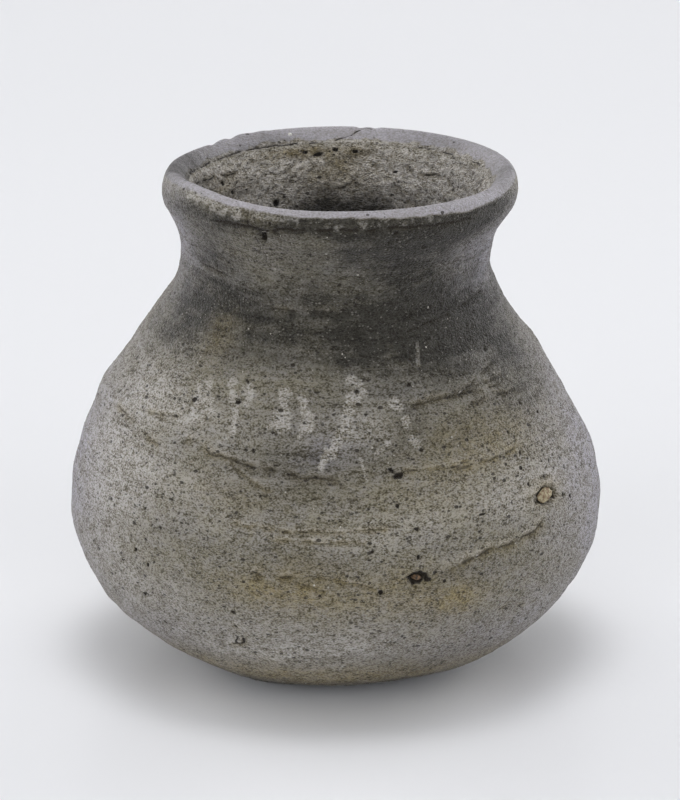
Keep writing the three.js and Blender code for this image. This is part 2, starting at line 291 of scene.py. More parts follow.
# Streaks of lime: points of degrees round and height, width at the first point and at the last, strength
LIME_STREAKS = (
    (
        (
            (-82.5, 67.3), (-84.2, 64.8), (-85.6, 61.6), (-87.8, 58.8), (-90.3, 56.3), (-92.5, 53.5),
        ),
        2.8, 1.2, 0.95,
    ),
    (((-128.2, 64.6), (-126.4, 62.2), (-126.4, 60.4)), 2.8, 4, 0.95),
    (((-127.5, 60), (-131.6, 58)), 2.2, 1.8, 0.85),
    (((-113.8, 65.4), (-113.2, 63.4)), 2.2, 1.4, 0.8),
    (((-103.6, 66.2), (-103, 63.1), (-103.4, 60.3)), 1.8, 2.8, 0.85),
    (((-98.2, 65.2), (-96.8, 62.5), (-96.4, 59.8)), 1.2, 2.6, 0.9),
    (((-83.3, 55.6), (-82.3, 51.3)), 0.6, 0.4, 0.7),
    (((-72.9, 63.9), (-71, 63)), 1.7, 1.3, 0.95),
    (((-70.6, 61.2), (-69.6, 60)), 1.2, 1.3, 0.85),
    (((-70, 57.8), (-68.4, 56.8)), 1.3, 1.1, 0.9),
    (((-81.8, 66.2), (-80.9, 65.6)), 1.6, 1.2, 0.8),
    (((-61.8, 73.2), (-62.8, 69.4)), 0.8, 0.6, 0.45),
    (((-119.6, 66.2), (-116.6, 62.4), (-115, 58.2)), 1.5, 1.1, 0.85),
    (((-133.6, 61), (-136.5, 58.4)), 1.6, 1.2, 0.6),
    (((-76, 57.4), (-79.5, 55.6)), 0.9, 0.6, 0.6),
    (((-148, 98.4), (-136, 98.6), (-124, 98.8)), 1.2, 0.8, 0.6),
    (((-118, 98.4), (-104, 98.7)), 0.8, 0.6, 0.5),
)

# Low swellings: degrees round, height, half width round, half width up, how proud
BUMPS = (
    (-63, 34.6, 4.5, 1.2, 0.45), (-99, 35.4, 7, 1.5, 0.3), (-46, 37.4, 6, 1.4, 0.3),
    (-10, 39, 5, 4, 0.35), (-120, 3, 6, 2.5, 0.3), (12, 63.5, 15, 3, 0.65), (12, 50.5, 15, 4, -0.6),
    (168, 63.5, 15, 3, -0.5), (168, 55.5, 12, 3, 0.35), (-160, 15, 12, 4, 0.45),
)

# Chips and lumps on the crest of the lip: degrees round, half width round, how proud
CREST_CHIPS = (
    (127, 2.4, 0.35), (131.5, 1.1, -0.3), (135, 1.8, 0.25), (140, 1.2, -0.35), (119, 1.6, 0.2),
    (83, 1, -0.3), (78, 0.8, -0.25), (-174, 1.6, -0.35), (-166, 3, 0.3),
)

# Creases of the bevel: points of degrees round and share of the way in from the crest, width, depth. They
# get painted shade and a painted highlight like the ledges
BEVEL_LINES = (
    (((206, 0.9), (190, 0.97), (170, 0.95), (150, 0.98), (128, 0.96), (112, 0.97), (99, 1)), 0.5, 0.4),
    (((92, 0.86), (86, 0.5), (81, 0.14)), 0.45, 0.3),
    (((82, 0.2), (80.5, 0.05), (79, 0.12)), 0.5, 0.4),
    (((60, 0.95), (48, 0.97), (34, 0.95), (22, 0.98)), 0.35, 0.25),
    (((-142, 0.36), (-152, 0.5), (-162, 0.46), (-172, 0.2)), 0.7, 0.8),
)

# Pits and creases of the inner wall, placed as on the outside and darkened with painted shade, with a
# painted highlight on the creases' burrs
INNER_PITS = (
    (117, 86.2, 1.5, 1.5, 0, 1.3), (104, 96, 1.3, 0.7, 0, 0.7), (99, 95.4, 2.2, 0.8, -10, 0.8),
    (92, 96.2, 1.6, 0.8, 10, 0.7), (84, 96, 1.4, 0.8, 20, 0.7), (140, 90.5, 2, 0.9, 20, 0.7),
    (146, 93, 1.3, 0.9, 40, 0.6), (66, 92.4, 1.2, 0.8, 0, 0.6),
)

INNER_LINES = (
    (((196, 95.6), (180, 95.2), (164, 95.6), (150, 94.9), (138, 94.3)), 0.4, 0.35),
    (((60, 93.4), (52, 92.6), (45, 93)), 0.4, 0.3),
)

# Clouds of colour on the outside, on the wiped crest and bevel, and on the inner wall: degrees round,
# height, half width in degrees, half height in millimetres, strength
CLOUDS = {
    # The lowest of these clouds darken the foot where it meets the table
    "soot": (
        (-90, 0.6, 90, 1.5, 1.2), (-122, 2.5, 12, 2, 0.9), (-58, 76.5, 36, 8, 0.9), (-66, 82, 22, 3, 0.2),
        (-84, 73, 14, 3.6, 0.3), (-104, 78, 30, 6.5, 0.42), (-142, 79, 24, 6, 0.66),
        (-20, 74, 22, 9, 0.4), (90, 78, 90, 8, 0.6), (-54, 68, 26, 5, 0.38), (-86, 70.5, 16, 3, 0.1),
        (-62, 92, 14, 5, 0.28), (-58, 84, 16, 6, 0.3), (-60, 74, 14, 4, 0.35), (-82, 74, 10, 3, 0.25),
        (-69, 60.5, 5, 4, 0.35), (-126, 70.5, 24, 4, 0.3), (-158, 71, 16, 4.5, 0.4),
        (-26, 66, 14, 5, 0.3), (-52, 61.5, 14, 3.5, 0.2), (-68, 90, 28, 5, 0.56), (-115, 87, 30, 7, 0.32),
        (-145, 90, 16, 5, 0.25), (-30, 90, 12, 6, 0.15), (90, 90, 80, 7, 0.45), (-76, 97.3, 42, 2.4, 0.9),
        (-74, 98.6, 34, 1.6, 1.1), (-125, 96.2, 20, 2.4, 0.45), (-150, 95.6, 24, 2.6, 0.45),
        (-30, 96.8, 18, 2.6, 0.6), (-64, 93.8, 30, 2.6, 0.6), (-122, 93, 20, 2.5, 0.15),
        (-98, 53.5, 22, 5, 0.44), (-70, 56.5, 20, 4, 0.26), (-30, 60, 16, 6, 0.25),
        (-104, 47.5, 14, 4, 0.16), (-97, 35.5, 12, 5, 0.26), (-97, 62, 20, 4, 0.18),
        (-22, 60, 16, 5, 0.14), (-84, 65, 14, 3, 0.16), (-52, 74, 8, 3, 0.28), (-116, 76, 10, 3.5, 0.2),
        (-31, 84, 7, 3, 0.25), (-53, 57.5, 8, 3, 0.16), (-86, 14, 12, 3, 0.14), (-98, 19, 16, 3, 0.12),
        (-64, 11, 14, 3, 0.25), (-88, 4, 70, 3, 0.6), (-150, 77, 12, 4, 0.28), (-142, 86, 10, 5, 0.32),
        (-40, 74, 12, 4, 0.3), (-82, 92.5, 9, 3, 0.28), (-58, 95.4, 18, 2.4, 0.5),
        (-66, 32, 14, 2.6, 0.22), (130, 46, 40, 14, 0.35), (50, 28, 45, 12, 0.3),
    ),
    "pale": (
        (-150, 60, 20, 5, 0.3), (-156, 46, 16, 9, 0.95), (-146, 66, 12, 4, 0.3), (-78, 66, 10, 3, 0.25),
        (-40, 66, 10, 3, 0.3), (-70, 43, 10, 3, 0.3), (-78, 86, 14, 4, 0.22), (-130, 81.5, 7, 3, 0.3),
        (-84, 60, 8, 3, 0.25), (-116, 58, 10, 4, 0.25), (-142, 49, 12, 6, 0.3), (-108, 52, 10, 3, 0.25),
        (-66, 66.5, 6, 3.5, 0.32), (-48, 63.5, 5, 2.5, 0.3), (-20, 80, 10, 4, 0.4), (-126, 59, 8, 3, 0.2),
        (-151, 43, 10, 5, 0.2), (-122, 49, 8, 3, 0.2), (-147, 36, 10, 5, 0.25), (-140, 28, 14, 5, 0.2),
        (-94, 16, 20, 4, 0.3), (-116, 14, 12, 4, 0.25), (-114, 44, 9, 3.5, 0.22), (-150, 60, 10, 5, 0.25),
        (-116, 7, 12, 2.5, 0.4), (-92, 9, 12, 2.5, 0.3), (-84, 58, 8, 3, 0.3), (-126, 84, 6, 3, 0.3),
        (-52, 47, 16, 3.5, 0.25), (-45, 43, 12, 3, 0.28), (-86, 40, 12, 3, 0.28), (-138, 60, 8, 3, 0.28),
        (-81, 59, 6, 3, 0.28), (-130, 48, 10, 5, 0.3), (-96, 18, 22, 5, 0.5), (-130, 22, 20, 7, 0.3),
        (-36, 48, 14, 5, 0.28), (-15, 36, 20, 14, 0.28), (-156, 24, 20, 12, 0.25), (-38, 20, 16, 5, 0.15),
        (-82, 60, 10, 6, 0.15), (30, 44, 22, 10, 0.45), (120, 62, 18, 7, 0.4), (85, 30, 25, 8, 0.3),
    ),
    # Painted sheen: lilac-grey clouds, mostly where the wall turns away towards the sides
    "cool": (
        (-4, 36, 24, 26, 0.95), (-178, 36, 24, 24, 0.85), (-46, 15, 24, 6, 0.45), (-138, 14, 20, 7, 0.3),
        (-162, 88, 20, 12, 0.7), (-18, 86, 20, 12, 0.8), (-40, 84, 14, 10, 0.4), (-92, 56, 9, 4, 0.5),
    ),
    "lime": (
        (-118, 56.5, 3.5, 1.6, 0.45), (-128, 97.8, 24, 1.4, 0.42), (-78, 98.1, 34, 1.3, 0.34),
        (-104, 15, 7, 3, 0.45), (-90, 12, 7, 2.4, 0.45), (-121, 13, 5, 3, 0.4), (25, 44, 8, 5, 0.6),
        (150, 66, 6, 4, 0.7), (95, 60, 4, 3, 0.8),
    ),
    # The lowest of these browns the foot where it meets the table
    "ochre": (
        (-64.5, 27.4, 7, 3.5, 0.6), (-58, 56, 20, 8, 0.1), (-66, 48, 22, 6, 0.1),
        (-88, 29, 24, 4.5, 0.28), (-97, 29.5, 8, 2.5, 0.3), (-131, 73, 7, 4, 0.45),
        (-107.6, 31, 7, 2.5, 0.45), (-75, 33, 9, 2.5, 0.35), (-97, 35, 8, 3, 0.35),
        (-80, 97.9, 34, 1.5, 0.6), (-124, 97.6, 14, 1.4, 0.5), (-50, 56, 18, 4, 0.3),
        (-131.5, 76, 5, 4.5, 0.45), (-37, 43.2, 5, 2.5, 0.5), (-90, 6, 60, 5, 0.8),
        (-112, 48, 14, 4, 0.2), (60, 50, 25, 8, 0.35), (140, 25, 20, 6, 0.3),
    ),
}
CREST_SOOT = (
    (172, 99, 30, 9, 0.78), (-4, 99, 26, 9, 0.46), (124, 99, 14, 9, 0.2), (50, 99, 20, 9, 0.3),
    (118, 98, 24, 1.2, 0.25), (-160, 98.2, 13, 1.4, 0.6),
)
# Painted shade on the inner wall, darkest deep in the pot and in places near the rim
INNER_SHADE = (
    (86, 82.3, 24, 4.4, 1.5), (90, 66, 180, 13, 0.9), (84, 95.5, 14, 1.2, 0.25), (24, 93, 20, 7, 0.28),
    (168, 94, 16, 5, 0.55),
)
INNER_OCHRE = (
    (90, 92, 16, 5, 0.5), (150, 92, 20, 4, 0.3), (100, 96, 24, 1.2, 0.8),
)

# Hollows round the large grains: degrees round and millimetres up from the grain's middle, then length,
# width, tilt and depth as above, and how dark their painted shade is
STONE_PITS = {
    "belly_grain": ((0, 0, 6.8, 3.7, 6, 1.4, 0.5), (2.9, -0.1, 1.1, 2.6, 0, 0.7, 1.0)),
    "lower_grain": ((0, 0, 4.2, 2.9, 12, 1.2, 0.9), (2.4, -0.5, 1.6, 1.0, -20, 0.6, 1.0)),
}

MASKS = ("soot", "pale", "cool", "lime", "ochre", "hollow", "lining", "turned", "polish")

# How finely the curves of the profile are drawn
CURVE_POINTS = 301
ROLL_POINTS = 121

# Seeds of the noise that breaks up each kind of mark
PIT_SEED = 71
WAVER_SEED = 72
FINE_WAVER_SEED = 75
BREAK_SEED = 73
BUMP_SEED = 74
LIME_EDGE_SEED = 76
LIME_PATCH_SEED = 78

# Where one kind of surface gives way to another: distance from the middle of the base for the worn foot,
# heights for the others
WORN_FOOT = (13 * MM, 24 * MM)
ROUGH_BELLY = (24 * MM, 36 * MM)
TURNED_WALL = (38 * MM, 97 * MM)
TURNED_NECK = (78 * MM, 96 * MM)
WIPED_LIP = (95.5 * MM, 97.5 * MM)

# Pits: how ragged, where their edge begins and ends, how proud their mouth stands, and the smallest
PIT_RAGGEDNESS = 0.3
PIT_EDGE = (0.6, 1.15)
PIT_MOUTH = 0.06
LEAST_PIT = 0.3 * MM

# How far lines and streaks waver
LINE_WAVER = 0.22 * MM
STREAK_WAVER = 0.15 * MM

# How much of a stain was wiped off the lip, and the edge of a crust of lime
WIPED_OFF = 0.92
CRUST_EDGE = (0.3, 0.62)


def bezier(start, leave, arrive, end):
    """Points along a cubic curve."""
    t = np.linspace(0, 1, CURVE_POINTS)[:, None]
    early = (1 - t) ** 3 * start + 3 * (1 - t) ** 2 * t * leave
    return early + 3 * (1 - t) * t**2 * arrive + t**3 * end


class Profile:
    """Half of a cross-section, through named stretches, measured by the distance along it."""

    def __init__(self, stretches):
        self.start = {}
        self.length = {}
        travelled = 0.0
        for name, stretch in stretches.items():
            self.start[name] = travelled
            self.length[name] = float(np.linalg.norm(np.diff(stretch, axis=0), axis=1).sum())
            travelled += self.length[name]
        first, *others = stretches.values()
        self.points = np.concatenate([first] + [stretch[1:] for stretch in others])
        steps = np.linalg.norm(np.diff(self.points, axis=0), axis=1)
        self.distances = np.concatenate([[0.0], np.cumsum(steps)])
        self.total = float(self.distances[-1])

    def distance_to(self, stretch, part):
        return self.start[stretch] + self.length[stretch] * part

    def at(self, distance):
        """Radius and height at each distance."""
        radius = np.interp(distance, self.distances, self.points[:, 0])
        height = np.interp(distance, self.distances, self.points[:, 1])
        return radius, height

    def at_height(self, height):
        """Distance at which the wall reaches a height, on its way up to the crest."""
        crest = np.argmax(self.points[:, 1])
        rising = (self.distances >= self.start["underside"]) & (np.arange(len(self.points)) <= crest)
        return np.interp(height, self.points[rising, 1], self.distances[rising])

    def slope(self, distance):
        """Direction along the profile at each distance, as shares outwards and upwards."""
        reach = 0.4 * MM
        ahead = self.at(np.minimum(distance + reach, self.total))
        behind = self.at(np.maximum(distance - reach, 0))
        across = ahead[0] - behind[0]
        up = ahead[1] - behind[1]
        size = np.hypot(across, up)
        return across / size, up / size


def upright_curve(start, end, fullness_below, fullness_above):
    """A curve that leaves and arrives upright."""
    rise = end[1] - start[1]
    leave = np.array([start[0], start[1] + rise * fullness_below])
    arrive = np.array([end[0], end[1] - rise * fullness_above])
    return bezier(start, leave, arrive, end)


def lower_stretches(shape, base, belly_radius, waist_radius):
    """The waist of one side of the wall, and the stretches from the middle of the base up to it."""
    patch = np.array([shape.rest_radius, base])
    belly = np.array([belly_radius, shape.belly_height])
    waist = np.array([waist_radius, shape.waist_height])
    level = np.array([patch[0] + (belly[0] - patch[0]) * shape.underside_fullness, patch[1]])
    upright = np.array([belly[0], belly[1] - (belly[1] - patch[1]) * shape.heel_fullness])
    stretches = {
        "floor": np.stack([np.array([0, base]), patch]),
        "underside": bezier(patch, level, upright, belly),
        "body": upright_curve(belly, waist, shape.belly_fullness, shape.shoulder_fullness),
    }
    return waist, stretches


def lip_points(shape):
    """Crest of the lip, inner edge of its bevel, and the fall from one to the other."""
    crest = np.array([shape.lip_radius - shape.crest_inset, shape.lip_height + shape.crest_rise])
    fall = np.array([-shape.bevel_run, -shape.bevel_drop])
    return crest, crest + fall, fall


def outside_profile(shape):
    """Flat patch, underside, body, neck, lip and bevel."""
    waist, stretches = lower_stretches(shape, 0, shape.belly_radius, shape.waist_radius)
    crest, edge, fall = lip_points(shape)
    lip = np.array([shape.lip_radius, shape.lip_height])
    turn = np.linspace(0, math.pi / 2, ROLL_POINTS)
    across = crest[0] + shape.crest_inset * np.cos(turn)
    up = lip[1] + shape.crest_rise * np.sin(turn)
    brow = crest - np.array([shape.bevel_run * shape.bevel_roundness, 0])
    stretches["neck"] = upright_curve(waist, lip, shape.neck_fullness, shape.lip_fullness)
    stretches["roll"] = np.stack([across, up], 1)
    stretches["bevel"] = bezier(crest, brow, edge - fall * shape.bevel_roundness, edge)
    return Profile(stretches)


def inside_profile(shape):
    """Inside floor, wall and throat, up to the inner edge of the bevel."""
    belly_radius = shape.belly_radius - shape.belly_wall
    waist_radius = shape.waist_radius - shape.neck_wall
    waist, stretches = lower_stretches(shape, shape.base_thickness, belly_radius, waist_radius)
    _, edge, fall = lip_points(shape)
    leave = np.array([waist[0], waist[1] + (edge[1] - waist[1]) * shape.lip_fullness])
    stretches["neck"] = bezier(waist, leave, edge + fall * shape.bevel_roundness, edge)
    return Profile(stretches)


def ease(value, low, high):
    """0 below low, 1 above high, and smooth between."""
    t = np.clip((value - low) / (high - low), 0, 1)
    return t * t * (3 - 2 * t)


def between(value, low, high, soft):
    return ease(value, low - soft, low + soft) * (1 - ease(value, high - soft, high + soft))


def turn_between(a, b):
    """Difference of two directions, in degrees, from -180 to 180."""
    return (a - b + 180) % 360 - 180


def swell(value, spread):
    return np.exp(-((value / spread) ** 2))


def noise(place, size, seed):
    """Smooth noise of about -1 to 1. The size of its cells is one number, or one for each axis."""
    random = np.random.default_rng(seed)
    order = random.permutation(256)
    leaning = random.normal(size=(256, 3))
    leaning /= np.linalg.norm(leaning, axis=1, keepdims=True)
    scaled = place / size
    corner = np.floor(scaled).astype(np.int64)
    within = scaled - corner
    smooth = within**3 * (within * (within * 6 - 15) + 10)
    total = np.zeros(place.shape[:-1])
    for offset in np.ndindex(2, 2, 2):
        cell = (corner + np.array(offset)) & 255
        pick = order[(cell[..., 0] + order[(cell[..., 1] + order[cell[..., 2]]) & 255]) & 255]
        weight = np.prod(np.where(offset, smooth, 1 - smooth), axis=-1)
        total += weight * np.einsum("...k,...k", leaning[pick], within - np.array(offset))
    return total * 1.7


def waves(place, seed, *rows):
    """Noise added up over rows of strength and size of its cells in millimetres."""
    total = 0.0
    for index, (strength, size) in enumerate(rows):
        total = total + strength * noise(place, np.array(size) * MM, seed + index)
    return total


def column_angles():
    """Directions of the columns, crowded towards the front."""
    fine = np.linspace(-180, 180, 7201)
    crowding = 1 + FRONT_CROWDING * np.cos(np.radians(fine - FRONT))
    travelled = np.concatenate([[0], np.cumsum((crowding[1:] + crowding[:-1]) / 2)])
    travelled /= travelled[-1]
    return np.interp(np.arange(COLUMNS) / COLUMNS, travelled, fine)


class Skin:
    """One side of the wall as a grid, with a row for each step up it and a column for each direction."""

    def __init__(self, profile, lap, outside):
        self.profile = profile
        self.outside = outside
        self.distance, self.marks = self.rows_between_seams(lap)
        self.angle = column_angles()
        self.radius, self.height = profile.at(self.distance)
        across, up = profile.slope(self.distance)
        side = 1.0 if outside else -1.0
        self.place = self.spread(self.radius, self.height)
        self.normal = self.spread(side * up, -side * across)
        self.lift = np.zeros(self.place.shape[:2])
        self.masks = {name: np.zeros(self.place.shape[:2]) for name in MASKS}

    def rows_between_seams(self, lap):
        """Distances of the rows, and the row that each seam falls on."""
        seams = [self.profile.distance_to(*row[-1]) - lap for row in SECTIONS.values() if row[-1]]
        bounds = [POLE_RADIUS, *seams, self.profile.total]
        distances = [np.array([POLE_RADIUS])]
        marks = [0]
        for (_, outer_step, inner_step, _), low, high in zip(SECTIONS.values(), bounds, bounds[1:]):
            step = outer_step if self.outside else inner_step
            steps = math.ceil((high - low) / (step * MM))
            distances.append(np.linspace(low, high, steps + 1)[1:])
            marks.append(marks[-1] + steps)
        return np.concatenate(distances), marks

    def spread(self, out, up):
        """A grid of vectors from their parts outwards and upwards in each row."""
        turn = np.radians(self.angle)
        columns = np.stack([np.cos(turn), np.sin(turn)], 1)
        grid = np.empty((len(self.distance), len(turn), 3))
        grid[..., :2] = out[:, None, None] * columns[None]
        grid[..., 2] = up[:, None]
        return grid

    def window(self, angle, distance, reach):
        """Rows and columns near a place, and how far each lies round and along the wall from it."""
        radius = float(self.profile.at(distance)[0])
        along = self.distance - distance
        round_it = np.radians(turn_between(self.angle, angle)) * radius
        rows = np.flatnonzero(np.abs(along) < reach)
        columns = np.flatnonzero(np.abs(round_it) < reach)
        u, v = np.meshgrid(round_it[columns], along[rows])
        return np.ix_(rows, columns), u, v

    def at_heights(self, points):
        """Points of degrees round and height in millimetres, as degrees round and distance."""
        return [(angle, self.profile.at_height(height * MM)) for angle, height in points]

    def raise_mask(self, name, where, amount):
        self.masks[name][where] = np.maximum(self.masks[name][where], amount)


def press_pit(skin, angle, distance, sizes, tilt, depth, darkness=1.0):
    """Presses one ragged pit into a skin, a little proud round its mouth, and darkens it with painted
    shade.
    """
    pit_length, pit_width = sizes
    reach = max(sizes) * 1.3 + 0.4 * MM
    where, u, v = skin.window(angle, distance, reach)
    if u.size == 0:
        return
    lean = math.radians(tilt)
    along = u * math.cos(lean) + v * math.sin(lean)
    across = v * math.cos(lean) - u * math.sin(lean)
    away = np.hypot(along / (pit_length / 2), across / (pit_width / 2))
    away += PIT_RAGGEDNESS * noise(skin.place[where], 0.9 * MM, PIT_SEED)
    inside = 1 - ease(away, *PIT_EDGE)
    mouth = PIT_MOUTH * depth * swell(away - 1.45, 0.3)
    skin.lift[where] -= depth * inside
    skin.lift[where] += mouth
    # Painted shade in the pit
    skin.raise_mask("hollow", where, darkness * inside)


def press_pits(skin, pits):
    for angle, height, pit_length, pit_width, tilt, depth in pits:
        distance = skin.profile.at_height(height * MM)
        press_pit(skin, angle, distance, (pit_length * MM, pit_width * MM), tilt, depth * MM)


def near_line(skin, points, margin, waver):
    """Places round a line through points of a skin: how far off it, how far above it and how far along."""
    first_angle, first_distance = points[0]
    radius = float(skin.profile.at(first_distance)[0])
    flat = [
        (math.radians(turn_between(angle, first_angle)) * radius, distance - first_distance)
        for angle, distance in points
    ]
    reach = max(math.hypot(*point) for point in flat) + margin
    where, u, v = skin.window(first_angle, first_distance, reach)
    place = skin.place[where]
    wander = waver * (2 * noise(place, 4 * MM, WAVER_SEED) + noise(place, 1.4 * MM, FINE_WAVER_SEED))
    away = np.full(u.shape, reach)
    above = np.zeros(u.shape)
    along = np.zeros(u.shape)
    for index, ((u0, v0), (u1, v1)) in enumerate(zip(flat, flat[1:])):
        size = math.hypot(u1 - u0, v1 - v0)
        t = np.clip(((u - u0) * (u1 - u0) + (v - v0) * (v1 - v0)) / size**2, 0, 1)
        du = u - u0 - t * (u1 - u0)
        dv = v - v0 - t * (v1 - v0) + wander
        gap = np.hypot(du, dv)
        nearer = gap < away
        away = np.where(nearer, gap, away)
        above = np.where(nearer, dv, above)
        along = np.where(nearer, (index + t) / (len(flat) - 1), along)
    return where, away, above, along


def cut_line(skin, points, width, depth, darkness):
    """Cuts an uneven, broken ledge along points of a skin: a groove along it and a burr above it, with
    painted shade in the groove and below the ledge, browned along it, and a painted highlight on the burr.
    """
    where, away, above, _ = near_line(skin, points, 3 * width, LINE_WAVER)
    patchy = ease(noise(skin.place[where], (3.5 * MM, 3.5 * MM, 6 * MM), BREAK_SEED), -0.45, 0.0)
    inside = swell(away, 0.55 * width) * patchy
    burr = swell(above - 1.1 * width, 0.6 * width) * swell(away, 2 * width) * patchy
    shadow = swell(above + 0.6 * width, 1.2 * width) * swell(away, 2 * width) * patchy
    skin.lift[where] -= depth * inside
    skin.lift[where] += 0.4 * depth * burr
    # Painted shade in the groove, painted shadow below the ledge browned along it, and a painted highlight
    # on the burr
    skin.raise_mask("hollow", where, darkness * inside)
    skin.raise_mask("soot", where, 0.25 * shadow)
    skin.raise_mask("ochre", where, 0.5 * swell(away, 1.3 * width) * patchy)
    skin.raise_mask("pale", where, 0.9 * burr)


def cut_lines(skin, lines, darkness):
    for points, width, depth in lines:
        cut_line(skin, skin.at_heights(points), width * MM, depth * MM, darkness)


def smear_lime(skin, points, first_width, last_width, strength):
    """Leaves a crusty streak of lime along points of a skin, with ragged edges."""
    where, away, _, along = near_line(skin, points, 4 * MM, STREAK_WAVER)
    place = skin.place[where]
    half = 0.6 * (first_width + (last_width - first_width) * along)
    ragged = waves(place, LIME_EDGE_SEED, (0.75, 1.9), (0.45, 0.8))
    patchy = 0.7 + 0.3 * ease(noise(place, 2.6 * MM, LIME_PATCH_SEED), -0.35, 0.25)
    covered = 1 - ease(away / half + ragged, 0.75, 1.15)
    skin.raise_mask("lime", where, 0.85 * strength * patchy * covered)


def shape_outside(skin, relief):
    """Relief of the outside, apart from what is listed place by place."""
    place = skin.place
    height = skin.height[:, None]
    seed = relief.seed
    off_foot = ease(skin.distance, *WORN_FOOT)[:, None]
    wiped = ease(height, *WIPED_LIP)
    lower = 1 - ease(height, *ROUGH_BELLY)
    turned = between(height, *TURNED_WALL, 6 * MM)
    skin.masks["turned"] += turned * (0.75 + waves(place, seed + 1, (0.25, (40, 40, 9))))

    lumps = waves(place, seed + 2, (1, (22, 22, 17)), (0.5, (13, 13, 9)))
    skin.lift += relief.lumps * lumps * (0.55 + 0.6 * lower) * off_foot * (1 - 0.6 * wiped)
    dents = waves(place, seed + 4, (1, (6, 6, 3.6)), (0.6, 2.8))
    skin.lift += relief.dents * dents * (0.45 + 0.65 * lower) * off_foot * (1 - 0.65 * wiped)
    grit = waves(place, seed + 6, (1, 1.5), (0.7, 0.85))
    skin.lift += relief.grit * grit * (0.4 + 0.6 * off_foot) * (1 - 0.6 * wiped)

    wavy = place.copy()
    wavy[..., 2] += MM * waves(place, seed + 8, (0.9, 24)) + 0.03 * place[..., 0]
    lines = waves(wavy, seed + 9, (1, (13, 13, 0.85)))
    bands = waves(wavy, seed + 10, (1, (30, 30, 2.3)))
    strength = turned * (0.5 + 0.5 * between(height, *TURNED_NECK, 4 * MM))
    patches = ease(waves(place, seed + 11, (1, (16, 16, 8))), -0.5, 0.35)
    skin.lift += relief.turning_lines * lines * strength * (0.35 + 0.65 * patches)
    skin.lift += relief.turning_bands * bands * strength


def shape_inside(skin, relief):
    """Relief of the rough inner wall, which dies out at the inner edge of the bevel."""
    to_edge = ease(skin.profile.total - skin.distance, 0, 1.6 * MM)[:, None]
    rough = waves(
        skin.place,
        relief.seed + 20,
        (1, (4.5, 4.5, 2.6)),
        (1.1, 2.1),
        (0.9, (1.4, 1.4, 1.1)),
        (0.9, (15, 15, 6)),
        (0.35, (18, 18, 1.3)),
    )
    skin.lift += relief.inside_lumps * rough * to_edge
    skin.masks["lining"] += to_edge


def scatter_pits(skin, seed, count, low, high, greatest, darkness):
    """Small pits where sand has fallen out, mostly small ones."""
    random = np.random.default_rng(seed)
    usable = (skin.distance > low) & (skin.distance < high)
    weight = np.where(usable, skin.radius * np.gradient(skin.distance), 0)
    rows = random.choice(len(skin.distance), size=count, p=weight / weight.sum())
    angles = random.uniform(-180, 180, count)
    widths = LEAST_PIT + (greatest - LEAST_PIT) * random.random(count) ** 3
    stretch = random.uniform(1.0, 1.8, count)
    tilts = random.normal(0, 25, count)
    for row, angle, width, longer, tilt in zip(rows, angles, widths, stretch, tilts):
        press_pit(skin, angle, skin.distance[row], (width * longer, width), tilt, width * 0.45, darkness)


def mark_outside(skin):
    """Presses in and raises what the photograph shows at one place of the outside."""
    profile = skin.profile
    press_pits(skin, PITS)
    cut_lines(skin, CRACKS.values(), 0.85)
    cut_lines(skin, LEDGES.values(), 0.5)
    cut_lines(skin, BURRS.values(), 0.0)
    for points, first_width, last_width, strength in LIME_STREAKS:
        smear_lime(skin, skin.at_heights(points), first_width * MM, last_width * MM, strength)
    for angle, height, around, up, proud in BUMPS:
        where, u, v = skin.window(angle, profile.at_height(height * MM), 3 * MM * max(around, up))
        ragged = 1 + 0.35 * noise(skin.place[where], 3 * MM, BUMP_SEED)
        skin.lift[where] += proud * MM * ragged * swell(u, around * MM) * swell(v, up * MM)
    for points, width, depth in BEVEL_LINES:
        placed = [(angle, profile.distance_to("bevel", part)) for angle, part in points]
        cut_line(skin, placed, width * MM, depth * MM, 0.75)
    for angle, around, proud in CREST_CHIPS:
        where, u, v = skin.window(angle, profile.distance_to("bevel", 0.0), 6 * MM)
        skin.lift[where] += proud * MM * swell(u, around * MM) * swell(v, 1.4 * MM)


def mark_inside(skin):
    """Presses in what the photograph shows at one place of the inner wall."""
    press_pits(skin, INNER_PITS)
    cut_lines(skin, INNER_LINES, 0.75)


def node_place(node, axis):
    """Degrees round the pot's axis, and height, of the middle of a solid."""
    low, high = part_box(node)
    middle = (low + high) / 2
    return math.degrees(math.atan2(middle.y - axis.y, middle.x - axis.x)), middle.z


def open_stone_pits(skin, axis):
    """The cavity and the pit that the two large grains lie in, darkened with painted shade."""
    for node, pits in STONE_PITS.items():
        angle, height = node_place(node, axis)
        distance = skin.profile.at_height(height)
        for turn, up, pit_length, pit_width, tilt, depth, darkness in pits:
            sizes = (pit_length * MM, pit_width * MM)
            press_pit(skin, angle + turn, distance + up * MM, sizes, tilt, depth * MM, darkness)


def cloud_sum(skin, clouds):
    """Soft clouds added up over a skin."""
    total = np.zeros(skin.lift.shape)
    for angle, height, around, up, strength in clouds:
        across = turn_between(skin.angle, angle)[None, :] / around
        above = (skin.height[:, None] - height * MM) / (up * MM)
        total += strength * np.exp(-(across**2 + above**2))
    return total


